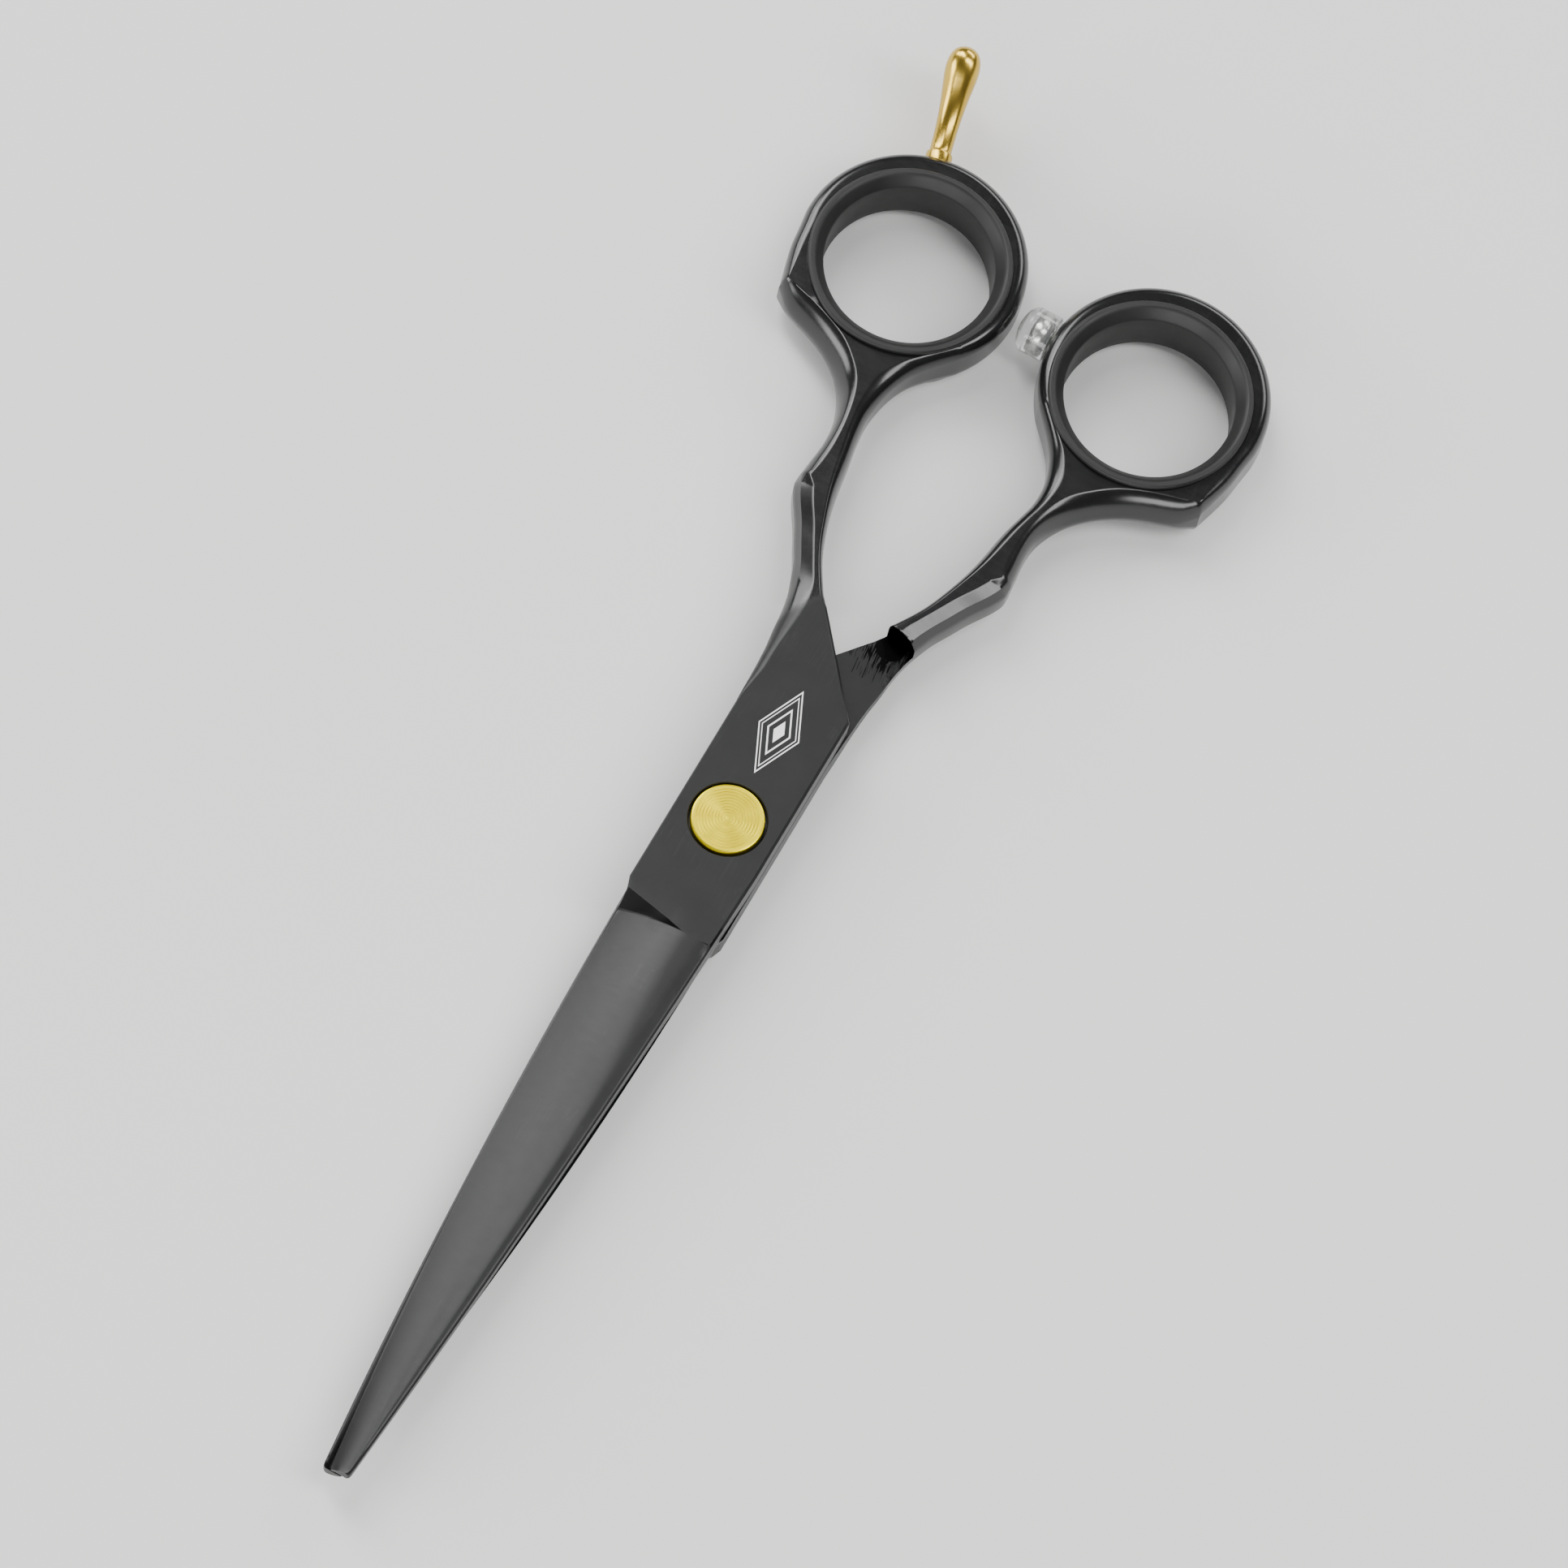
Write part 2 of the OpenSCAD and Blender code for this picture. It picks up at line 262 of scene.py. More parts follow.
def blade_section(y, bow, skew=0.0, ground=0.0, inset=0.0):
    """One closed loop. ground is 0 for the flat face, 1 for the ground one; skew drops the edge side."""
    back, edge = back_line(y, bow) + inset, edge_line(y) - inset * 0.5
    top = HALF_GAP + back_thickness(y)
    bevel_w = min(BEVEL, (edge - back) * 0.2)
    side_w, side_h = mix(0.12, 1.1, smooth((-12 - y) / 6)), mix(0.12, 1.3, smooth((-12 - y) / 6))
    side_w, side_h = side_w * (1 - ground), side_h * (1 - ground)
    rim = top - roll_off(bevel_w / (edge - back)) * ground
    loop = [Vector((back + 0.2, y, HALF_GAP)), Vector((back, y, HALF_GAP + 0.08)),
            Vector((back, y, rim - BEVEL)), Vector((back + bevel_w * 0.35, y, rim - BEVEL * 0.45)),
            Vector((back + bevel_w, y, rim))]
    start, end = back + bevel_w + 0.08, edge - side_w - 0.02
    for i in range(ACROSS + 1):
        share = i / ACROSS
        x = mix(start, end, share)
        past = max(0.0, (x - NOTCH_X) / (5.65 - NOTCH_X))
        z = mix(top, crown(y, (x - back) / (edge - back)), ground)
        loop.append(Vector((x, y + skew * past, z)))
    low_top = loop[-1].z
    drop = max(0.02, (low_top - HALF_GAP) * 0.5)
    for turn_share in (0.25, 0.5, 0.75, 1.0):
        angle = turn_share * math.pi / 2
        fall = mix(side_h, min(0.05, drop), ground)
        x = edge - side_w * (1 - math.sin(angle))
        loop.append(Vector((x, y + skew, low_top - fall * (1 - math.cos(angle)))))
    loop += [Vector((edge, y + skew, HALF_GAP))]
    for share in (0.10, 0.35, 0.5, 0.65, 0.92):
        dip = HOLLOW * ground * math.sin(math.pi * share) ** 0.6 if 0.1 < share < 0.92 else 0.0
        loop.append(Vector((mix(edge, back, share), y + skew * (1 - share), HALF_GAP + dip)))
    return loop


def blade_blank(bow):
    sections = [blade_section(y, bow)
                for y in (WELD, -17, HEEL.y, -15, -14, -13, -12, -8, 0, BACK_FROM, 8, 10.6)]
    sections.append(blade_section(GRIND, bow, skew=-1.5))
    rim = sections[-1]
    ground = blade_section(GRIND + 0.12, bow, skew=0.12, ground=1)
    for depth, along in ((0.5, 0.44), (0.88, 0.84)):
        sections.append([Vector((mix(a.x, b.x, along), mix(a.y, b.y, along), mix(a.z, b.z, depth)))
                         for a, b in zip(rim, ground)])
    sections.append(ground)
    for i in range(1, 45):
        y = mix(GRIND + 0.12, REACH - 0.6, i / 44)
        sections.append(blade_section(y, bow, skew=0.12 * (1 - i / 44), ground=1))
    sections += [blade_section(REACH - 0.2, bow, ground=1, inset=0.05),
                 blade_section(REACH, bow, ground=1, inset=0.25)]
    bm = bmesh.new()
    heel, tip = skin(bm, sections)
    bmesh.ops.contextual_create(bm, geom=loop_edges(bm, heel))
    bmesh.ops.contextual_create(bm, geom=loop_edges(bm, tip))
    return bm


# %% [markdown]
# The pivot hole is turned, so it is cut with turned shapes: on the finger blade a shallow
# recess in which the screw head sits with a thin dark gap round it, on the thumb blade a pocket for
# the tension nut and a recess for the glide washer. A small countersink catches the light.

# %% Pivot recesses
HEAD_TOP = (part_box("pivot_screw")[1].z - PIVOT.z) / MM
HEAD_SEAT = HEAD_TOP - 1.2
NUT_POCKET = 2.1


def recess(radius, floor, hole, floor_2=None, radius_2=None):
    """A stepped round cutter: a hole all the way and a recess with a countersunk mouth."""
    profile = [(0, -2), (hole, -2)]
    if radius_2:
        profile = [(0, -2), (radius_2, -2), (radius_2, floor_2), (hole, floor_2)]
    profile += [(hole, floor), (radius, floor), (radius, FACE - 0.1), (radius + 0.2, FACE + 0.1),
                (radius + 0.2, FACE + 2), (0, FACE + 2)]
    return turn(profile)


finger_blade_bm = carve(blade_blank(0.5), recess(4.1, HEAD_SEAT, 3.15))
thumb_blade_bm = carve(blade_blank(0.95), recess(4.6, NUT_POCKET, 2.9, 0.45, 4.85))
for bm, turned in ((finger_blade_bm, False), (thumb_blade_bm, True)):
    set_down(bm, turned)
make_piece(finger_blade_bm, "finger_blade_steel", "finger_half", ["finger_blade"])
make_piece(thumb_blade_bm, "thumb_blade_steel", "thumb_half", ["thumb_blade"])

# %% [markdown]
# ## The handles
# A handle is forged with its blade's shank and polished round. Seen from above it runs between two
# lines: the outer line is its silhouette and the inner line is where the rounding reaches the
# flat top, at TOP. Each entry of a rail is (outer x, outer y, inner x, inner y, height of the
# rounding, roundness). On the shank's outer side one more number, 1, turns the rounding into a wall
# and a ground facet. Smooth curves run through the entries; a new list starts at each
# crisp corner. The list follows the shank's inner side, the ring, and comes back by the bump.

# %% Rails of the handle
NECK_RAIL = [(-4.05, -18, -3.77, -18, 0.28, 0.3), (-0.5, -22.43, -0.2, -22.2, 0.28, 0.3),
             (2.7, -26.45, 3.05, -26.25, 0.35, 0.4)]
INNER_RAIL = [(3.0, -26.8, 3.5, -26.7, 0.6, 0.6), (4.0, -28.3, 4.75, -28.3, 1.2, 0.9),
              (5.8, -31.6, 6.7, -31.9, 1.9, 1), (7.1, -35.1, 8.05, -35.5, 2.2, 1),
              (8.1, -38.9, 9.25, -39.2, 2.4, 1), (8.75, -43.0, 10.1, -43.2, 2.5, 1),
              (9.3, -46.2, 10.7, -46.4, 2.5, 1), (9.5, -49.0, 11.0, -49.2, 2.4, 1),
              (9.05, -52.2, 10.8, -52.5, 2.2, 1), (8.1, -54.8, 9.6, -55.1, 2.1, 1),
              (6.75, -56.75, 7.95, -56.95, 2.0, 1)]
SHOULDER_RAIL = [(26.35, -64.2, 25.0, -64.5, 1.7, 1), (26.05, -61.8, 24.75, -62.0, 1.7, 1),
                 (25.5, -59.5, 24.5, -59.9, 1.7, 0.9), (24.95, -57.5, 24.3, -57.9, 1.8, 0.7)]
OUTER_RAIL = [(24.9, -57.1, 24.2, -57.65, 2.2, 0.6), (23.4, -55.8, 22.6, -57.25, 2.8, 0.65),
              (21.9, -55.1, 20.9, -56.8, 3.0, 0.65), (20.2, -54.5, 19.1, -56.2, 3.0, 0.65),
              (18.4, -53.7, 17.2, -55.4, 3.0, 0.65), (16.6, -52.6, 15.6, -54.5, 3.0, 0.65),
              (15.1, -51.3, 14.1, -53.2, 3.0, 0.65), (13.8, -49.6, 12.7, -51.6, 3.0, 0.7),
              (12.9, -47.7, 11.8, -49.6, 2.8, 0.8), (12.35, -45.6, 11.15, -46.6, 2.6, 0.9),
              (12.2, -43.2, 10.85, -43.4, 2.5, 1), (12.4, -41.0, 10.95, -40.9, 2.3, 0.9),
              (12.6, -39.0, 11.3, -38.8, 2.2, 0.7)]
BUMP_RAIL = [(12.6, -38.1, 10.4, -37.9, 2.1, 0.7, 1), (12.45, -37.5, 10.1, -37.3, 2.1, 0.7, 1),
             (11.8, -36.2, 9.4, -36.0, 2.1, 0.7, 1), (10.5, -34.1, 8.2, -34.0, 2.1, 0.7, 1),
             (9.4, -32.0, 7.1, -31.9, 2.1, 0.7, 1), (8.4, -30.1, 6.1, -30.0, 2.1, 0.7, 1),
             (7.7, -28.3, 5.1, -28.1, 2.1, 0.7, 0.9), (7.15, -26.6, 4.65, -26.3, 2.0, 0.8, 0.4),
             (6.75, -24.6, 4.55, -24.4, 1.9, 0.8),
             (6.45, -22.0, 4.72, -22.0, 1.7, 0.8), (6.15, -19.8, 4.88, -19.8, 1.5, 0.9),
             (6.0, -18, 4.9, -18, 1.3, 1)]
TOP = 3.2
RING_CENTRE = Vector((14.25, -67.0))
RING_R = 12.4
BORE_R = 10.4

# %% [markdown]
# The entries of a rail are some millimetres apart. A Catmull-Rom curve runs through all of them
# without a kink, and every number of an entry blends the same way, so the rounding grows and shrinks
# smoothly too. Round the ring the entries are worked out instead of listed, because there the
# rounding may only be as wide as the metal.

# %% Smooth rails
def spline(points, spacing=0.5):
    """Catmull-Rom through a rail's entries, about one point every spacing along the outer line."""
    points = [tuple(map(float, (*p, 0)[:7])) for p in points]
    ends = [tuple(2 * a - b for a, b in zip(points[0], points[1]))] + points + \
        [tuple(2 * a - b for a, b in zip(points[-1], points[-2]))]
    out = []
    for p0, p1, p2, p3 in zip(ends, ends[1:], ends[2:], ends[3:]):
        count = max(2, round(math.dist(p1[:2], p2[:2]) / spacing))
        for i in range(count):
            t = i / count
            out.append(tuple(0.5 * (2 * b + (c - a) * t + (2 * a - 5 * b + 4 * c - d) * t * t
                                    + (3 * b - a - 3 * c + d) * t ** 3)
                             for a, b, c, d in zip(p0, p1, p2, p3)))
    return out + [points[-1]]


def ring_rail(start=141, stop=363.5, step=2.5):
    """Round the ring, where the rounding may not run into the hole."""
    out = []
    for i in range(int((stop - start) / step) + 1):
        angle = math.radians(start + i * step)
        outer = RING_CENTRE + RING_R * Vector((math.cos(angle), math.sin(angle)))
        inward = FINGER_HOLE - outer
        width = min(1.4, inward.length - BORE_R - 0.35)
        inner = outer + inward.normalized() * width
        out.append((outer.x, outer.y, inner.x, inner.y, 1.75, 1))
    return out


def handle_rail(hole):
    shift = hole - FINGER_HOLE
    weld = [(x, WELD, x, WELD, 0.28, 1, 0) for x in (3.4, 1.7, 0, -1.7)]
    entries = (spline(NECK_RAIL) + spline(INNER_RAIL + ring_rail() + SHOULDER_RAIL)
               + spline(OUTER_RAIL) + spline(BUMP_RAIL) + weld)
    moved = []
    for ox, oy, ix, iy, *rest in entries:
        share = smooth((-44 - oy) / 9)
        d = shift * share
        moved.append((ox + d.x, oy + d.y, ix + d.x, iy + d.y, *rest))
    return moved


print(len(handle_rail(FINGER_HOLE)), "stations round a handle")

# %% [markdown]
# The rail is skinned from the flat underside, round the wall and up to the flat top. The
# two flats are filled between the rail and the ring's hole, and the hole's own wall is bridged.
# Near the pivot the lower half is cut away by a round cutter the size of the swing, so that the
# other half passes under it, and the cut's rim gets a narrow bevel that catches the light.

# %% Handle blank
ROUND_STEPS = 9
SWING = 28.4


def handle_blank(hole):
    rail = handle_rail(hole)
    sections = []
    for side in (-1, 1):
        steps = range(ROUND_STEPS + 1)
        for j in (reversed(steps) if side < 0 else steps):
            t = j / ROUND_STEPS
            curve_in, curve_up = 1 - math.cos(t * math.pi / 2), math.sin(t * math.pi / 2)
            wall, slope = min(1, j / 4), max(0, (j - 4) / (ROUND_STEPS - 4))
            facet_in, facet_up = 0.32 * wall + 0.68 * slope, 0.68 * wall + 0.32 * slope
            section = []
            for ox, oy, ix, iy, rise, roundness, facet in rail:
                into = mix(mix(t, curve_in, roundness), facet_in, facet)
                up = mix(mix(t, curve_up, roundness), facet_up, facet)
                height = side * (TOP - rise * (1 - up))
                section.append(Vector((mix(ox, ix, into), mix(oy, iy, into), height)))
            sections.append(section)
    bm = bmesh.new()
    lower, upper = skin(bm, sections)
    mouths = []
    for flat, z in ((lower, -TOP), (upper, TOP)):
        mouth = bmesh.ops.create_circle(bm, segments=96, radius=BORE_R)["verts"]
        bmesh.ops.translate(bm, verts=mouth, vec=(hole.x, hole.y, z))
        rim = loop_edges(bm, mouth)
        bmesh.ops.triangle_fill(bm, edges=loop_edges(bm, flat) + rim, use_beauty=True, normal=(0, 0, 1))
        mouths += rim
    bmesh.ops.bridge_loops(bm, edges=mouths)
    return bm


def swing_cutter(depth=6):
    bm = bmesh.new()
    ends = bmesh.ops.create_cone(bm, cap_ends=True, segments=160, radius1=SWING, radius2=SWING,
                                 depth=depth)["verts"]
    bmesh.ops.translate(bm, verts=ends, vec=(0, 0, HALF_GAP - depth / 2))
    return bm


def soften_swing_cut(bm):
    """A narrow bevel where the swing cut comes out through the shank's sides."""
    bmesh.ops.remove_doubles(bm, verts=bm.verts, dist=1e-5)
    rim = [e for e in bm.edges if len(e.link_faces) == 2 and e.calc_face_angle(0) > 0.4
           and all(abs(v.co.xy.length - SWING) < 0.03 and v.co.z < HALF_GAP - 0.3 for v in e.verts)]
    bmesh.ops.bevel(bm, geom=rim, offset=0.1, offset_type="OFFSET", segments=2, profile=0.5,
                    affect="EDGES", material=-1, clamp_overlap=True)
    print(len(rim), "edges softened at the swing cut")


for side, hole, turned in (("finger", FINGER_HOLE, False), ("thumb", THUMB_HOLE, True)):
    bm = carve(handle_blank(hole), swing_cutter())
    soften_swing_cut(bm)
    set_down(bm, turned)
    make_piece(bm, side + "_handle_steel", side + "_half", [side + "_handle"])

# %% [markdown]
# ## The rubber rings
# Each finger hole holds a soft ring with a lip over both faces of the metal and a mouth that
# flares inwards. It is one turned profile with small rounds at the lips.

# %% Rubber rings
HOLE_R, LIP_R, LIP_TOP, LIP_FOOT = 9.1, 10.9, 4.0, 3.27


def rubber_profile():
    upper = [(HOLE_R, 2.55), (HOLE_R + 0.12, 2.86), (9.95, 3.72), (10.22, 3.93), (10.42, LIP_TOP),
             (10.62, LIP_TOP), (10.80, 3.92), (LIP_R, 3.72), (LIP_R, 3.42), (LIP_R - 0.06, LIP_FOOT),
             (10.36, LIP_FOOT)]
    lower = [(r, -z) for r, z in reversed(upper)]
    return upper + lower + [(HOLE_R, -1.2), (HOLE_R, 0), (HOLE_R, 1.2)]


for side, hole, turned in (("finger", FINGER_HOLE, False), ("thumb", THUMB_HOLE, True)):
    bm = turn(rubber_profile(), 128)
    bmesh.ops.translate(bm, verts=bm.verts, vec=(hole.x, hole.y, 0))
    set_down(bm, turned)
    make_piece(bm, side + "_rubber_ring", side + "_half", [side + "_ring_insert"], crisp=50)

# %% [markdown]
# ## The pivot screw and the tension nut
# The gold head is faced on a lathe and keeps the tool's fine rings. The profile steps up and down
# by a few hundredths of a millimetre, so the rings are real grooves that glint. Under the
# head come the square neck, the shank and the thread, which ends in the slotted nut at the back.

# %% Screw
HEAD_R = 3.85
SHANK_R, THREAD_R = 2.0, 1.5
TURNED_RINGS, RING_PITCH, RING_DEPTH = 10, 0.33, 0.05
THREAD_PITCH, THREAD_DEPTH = 0.22, 0.13
SQUARE = (4.4, 4.4, 1.5)
NUT_BASE = (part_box("tension_nut")[0].z - PIVOT.z) / MM
SCREW_END = (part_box("pivot_screw")[0].z - PIVOT.z) / MM


def faced_head(top):
    """Half the profile of the head, from the centre out: a dimple, fine rings, a plain rim."""
    points = [(0, top - RING_DEPTH), (0.10, top - 0.035)]
    for ring in range(TURNED_RINGS):
        r = 0.2 + ring * RING_PITCH
        points += [(r, top - RING_DEPTH), (r + 0.09, top - RING_DEPTH), (r + 0.16, top - 0.005),
                   (r + 0.27, top - 0.005)]
    return points + [(3.50, top - 0.01), (HEAD_R - 0.22, top - 0.01), (HEAD_R - 0.07, top - 0.07),
                     (HEAD_R, top - 0.22)]


profile = faced_head(HEAD_TOP) + [(HEAD_R, HEAD_SEAT + 0.1), (HEAD_R - 0.1, HEAD_SEAT), (SHANK_R, HEAD_SEAT),
                                  (SHANK_R, -NUT_POCKET), (THREAD_R, -NUT_POCKET - 0.05)]
z = -NUT_POCKET - 0.15
while z > SCREW_END + 0.25:
    profile += [(THREAD_R, z), (THREAD_R - THREAD_DEPTH, z - 0.1)]
    z -= THREAD_PITCH
profile += [(THREAD_R - 0.02, SCREW_END + 0.12), (THREAD_R - 0.2, SCREW_END), (0, SCREW_END)]
bm = turn(profile, 128)
neck = bmesh.ops.create_cube(bm, size=1)["verts"]
bmesh.ops.scale(bm, verts=neck, vec=SQUARE)
bmesh.ops.translate(bm, verts=neck, vec=(0, 0, HEAD_SEAT - SQUARE[2] / 2))
set_down(bm)
make_piece(bm, "gold_screw", "finger_half", ["pivot_screw"], crisp=14)

# %% Nut
NUT_R, NUT_TOP = 4.0, -2.8
nut = turn([(THREAD_R + 0.06, NUT_BASE + 0.12), (THREAD_R + 0.2, NUT_BASE), (NUT_R - 0.3, NUT_BASE),
            (NUT_R - 0.08, NUT_BASE + 0.1), (NUT_R, NUT_BASE + 0.3), (NUT_R, NUT_TOP - 0.12),
            (NUT_R - 0.12, NUT_TOP), (THREAD_R + 0.06, NUT_TOP)], 128)
slot = bmesh.new()
bmesh.ops.create_cube(slot, size=1)
bmesh.ops.scale(slot, verts=slot.verts, vec=(10, 1.1, 1))
bmesh.ops.translate(slot, verts=slot.verts, vec=(0, 0, NUT_BASE))
nut = carve(nut, slot)
set_down(nut)
make_piece(nut, "gold_tension_nut", "nut_body", ["tension_nut"])

# %% [markdown]
# ## The finger rest
# A short collar screws into the ring's edge, and a horn with a thin waist swells to a round end.
# It is turned straight along X first. Then each slice leans and rises along a gentle arc, which
# is how the real one is bent. The joint's axis and the way the horn points are printed together,
# because they have to agree.

# %% Finger rest
joint = next(j for j in frame["joints"] if j["name"] == "rest_turn")
aim = Vector(joint["axis"]).normalized()
REST_LEN, REST_RISE, COLLAR = 12.2, 5.05, 1.45
REST_AT = math.radians(15.3)
root = RING_CENTRE + RING_R * Vector((math.sin(REST_AT), -math.cos(REST_AT)))
out_dir = (root - FINGER_HOLE).normalized()
print("rest turns about", [round(a, 3) for a in aim], "and points along", [round(c, 3) for c in out_dir])
rest_profile = [(0, -2.3), (0.95, -2.3), (1.25, -2.05), (1.25, 0.16), (1.34, 0.165), (1.42, 0.22),
                (1.44, 0.32), (1.44, 1.3), (1.42, 1.42), (1.34, 1.52), (1.24, 1.59),
                (1.19, 1.8), (1.18, 2.4), (1.19, 3.4), (1.22, 4.5), (1.29, 5.7), (1.39, 6.8), (1.52, 7.8),
                (1.68, 8.8), (1.80, 9.55), (1.85, 10.1), (1.84, 10.55), (1.75, 11.04), (1.56, 11.48),
                (1.27, 11.82), (0.85, 12.06), (0.42, 12.17), (0, 12.19)]
bm = turn(rest_profile, 48)
bmesh.ops.rotate(bm, verts=bm.verts, matrix=Matrix.Rotation(math.pi / 2, 3, "Y"))
for vert in bm.verts:
    t = max(0.0, (vert.co.x - COLLAR) / (REST_LEN - COLLAR))
    lean = math.atan(2 * REST_RISE * t / REST_LEN)
    height = vert.co.z
    vert.co.x -= height * math.sin(lean)
    vert.co.z = height * math.cos(lean) + REST_RISE * t * t
bmesh.ops.rotate(bm, verts=bm.verts, matrix=Matrix.Rotation(math.atan2(out_dir.y, out_dir.x), 3, "Z"))
bmesh.ops.translate(bm, verts=bm.verts, vec=(root.x, root.y, 0))
set_down(bm)
make_piece(bm, "gold_finger_rest", "rest_body", ["finger_rest"], crisp=40)

# %% [markdown]
# ## The bumper
# A clear plug in the thumb ring stops the rings from knocking together. It is cast from water-clear
# plastic over a bright stem, so there are two turned pieces: the domed shell and the stem that
# glints through it.

# %% Bumper
BUMPER_R, BUMPER_LEN, BUMPER_Y = 2.6, 3.9, -1.9
shell_profile = [(0, -1.75), (1.05, -1.75), (1.05, 0.06), (BUMPER_R - 0.1, 0.06), (BUMPER_R, 0.16),
                 (BUMPER_R, 2.6), (BUMPER_R - 0.06, 2.75), (BUMPER_R - 0.28, 3.12), (BUMPER_R - 0.7, 3.48),
                 (1.3, 3.71), (0.65, 3.85), (0, BUMPER_LEN)]
stem_profile = [(0, -1.0), (0.7, -1.0), (0.7, 0.3), (1.5, 0.6), (1.75, 1.0), (1.75, 2.0), (1.5, 2.3),
                (0, 2.5)]


def seat_bumper(bm):
    wall = RING_R - (RING_CENTRE.x - FINGER_HOLE.x)
    bmesh.ops.rotate(bm, verts=bm.verts, matrix=Matrix.Rotation(-math.pi / 2, 3, "Y"))
    bmesh.ops.translate(bm, verts=bm.verts, vec=(THUMB_HOLE.x - wall, THUMB_HOLE.y + BUMPER_Y, 0))
    set_down(bm, turned=True)
    return bm


make_piece(seat_bumper(turn(shell_profile, 64)), "clear_bumper", "thumb_half", ["bumper"],
           crisp=50)
make_piece(seat_bumper(turn(stem_profile, 32)), "bumper_stem", "thumb_half", crisp=50)

# %% [markdown]
# ## Shader helpers
# Small helpers keep the materials readable: they start a material or a group, add a node with its
# settings, place a group, and join two values with a Math node. Each one only shortens what the
# node editor would show as a row of boxes.

# %% Node helpers
def new_material(name):
    material = bpy.data.materials.new(name)
    material.use_nodes = True
    tree = material.node_tree
    print("material", name)
    return material, tree, tree.nodes["Principled BSDF"]


def add(tree, kind, **settings):
    node = tree.nodes.new(kind)
    for key, value in settings.items():
        if key in node.inputs:
            node.inputs[key].default_value = value
        else:
            setattr(node, key, value)
    return node


def make_group(name, inputs, outputs):
    group = bpy.data.node_groups.new(name, "ShaderNodeTree")
    for label, kind, value in inputs:
        socket = group.interface.new_socket(label, in_out="INPUT", socket_type=kind)
        if value is not None:
            socket.default_value = value
    for label, kind in outputs:
        group.interface.new_socket(label, in_out="OUTPUT", socket_type=kind)
    print("group", name, "puts out", [label for label, _ in outputs])
    return group, group.nodes.new("NodeGroupInput"), group.nodes.new("NodeGroupOutput")


def place(tree, group, **values):
    node = tree.nodes.new("ShaderNodeGroup")
    node.node_tree = group
    for key, value in values.items():
        node.inputs[key.replace("_", " ")].default_value = value
    return node


def coords(tree):
    return add(tree, "ShaderNodeTexCoord").outputs["Object"]


def math_node(tree, operation, a, b=None):
    node = add(tree, "ShaderNodeMath", operation=operation)
    for i, value in enumerate((a, b)):
        if value is None:
            continue
        if isinstance(value, (int, float)):
            node.inputs[i].default_value = value
        else:
            tree.links.new(value, node.inputs[i])
    return node.outputs[0]


# %% Short names for the maths
def times(tree, a, b):
    return math_node(tree, "MULTIPLY", a, b)


def plus(tree, a, b):
    return math_node(tree, "ADD", a, b)


def minus(tree, a, b):
    return math_node(tree, "SUBTRACT", a, b)


def above(tree, a, b):
    return math_node(tree, "GREATER_THAN", a, b)


def below(tree, a, b):
    return math_node(tree, "LESS_THAN", a, b)


def larger(tree, a, b):
    return math_node(tree, "MAXIMUM", a, b)


# %% [markdown]
# ## Shared effects as node groups
# *Brushed grain* is what a belt or wheel leaves, noise stretched along one direction, and beside it
# a soft cloud for slow changes of tone and gloss. *Hairline scratches* are thin lines in three
# directions that show only in patches. Both groups put out masks and heights only; each material
# decides what they do to its colour, gloss and bump.

# %% Brushed grain group
FLOAT, VECTOR = "NodeSocketFloat", "NodeSocketVector"
grain_group, gi, go = make_group(
    "brushed_grain", [("Vector", VECTOR, None), ("Stretch", VECTOR, (1, 1, 1)), ("Turn", VECTOR, (0, 0, 0)),
                      ("Scale", FLOAT, 4000)], [("Grain", FLOAT), ("Cloud", FLOAT)])
turned_by = add(grain_group, "ShaderNodeMapping")
grain = add(grain_group, "ShaderNodeTexNoise", Detail=3, Roughness=0.6)
cloud = add(grain_group, "ShaderNodeTexNoise", Scale=260, Detail=4, Roughness=0.55)
link = grain_group.links.new
link(gi.outputs["Vector"], turned_by.inputs["Vector"])
link(gi.outputs["Stretch"], turned_by.inputs["Scale"])
link(gi.outputs["Turn"], turned_by.inputs["Rotation"])
link(turned_by.outputs[0], grain.inputs["Vector"])
link(gi.outputs["Scale"], grain.inputs["Scale"])
link(gi.outputs["Vector"], cloud.inputs["Vector"])
link(grain.outputs[0], go.inputs["Grain"])
link(cloud.outputs[0], go.inputs["Cloud"])

# %% Hairline scratches group
scratch_group, gi, go = make_group(
    "hairline_scratches", [("Vector", VECTOR, None), ("Amount", FLOAT, 0.5)], [("Scratch", FLOAT)])
link = scratch_group.links.new
total = None
for angle, scale in ((0.5, 900), (-0.9, 1300), (1.35, 700)):
    aimed = add(scratch_group, "ShaderNodeMapping", Rotation=(0, 0, angle), Scale=(1, 0.035, 1))
    lines = add(scratch_group, "ShaderNodeTexNoise", Scale=scale, Detail=1.5)
    link(gi.outputs["Vector"], aimed.inputs["Vector"])
    link(aimed.outputs[0], lines.inputs["Vector"])
    near = math_node(scratch_group, "ABSOLUTE", minus(scratch_group, lines.outputs[0], 0.5))
    thin = minus(scratch_group, 1.0, times(scratch_group, near, 120.0))
    only = larger(scratch_group, thin, 0.0)
    total = only if total is None else larger(scratch_group, total, only)
patch = add(scratch_group, "ShaderNodeTexNoise", Scale=150, Detail=2)
link(gi.outputs["Vector"], patch.inputs["Vector"])
spots = above(scratch_group, patch.outputs[0], 0.56)
masked = times(scratch_group, times(scratch_group, total, spots), gi.outputs["Amount"])
link(masked, go.inputs["Scratch"])

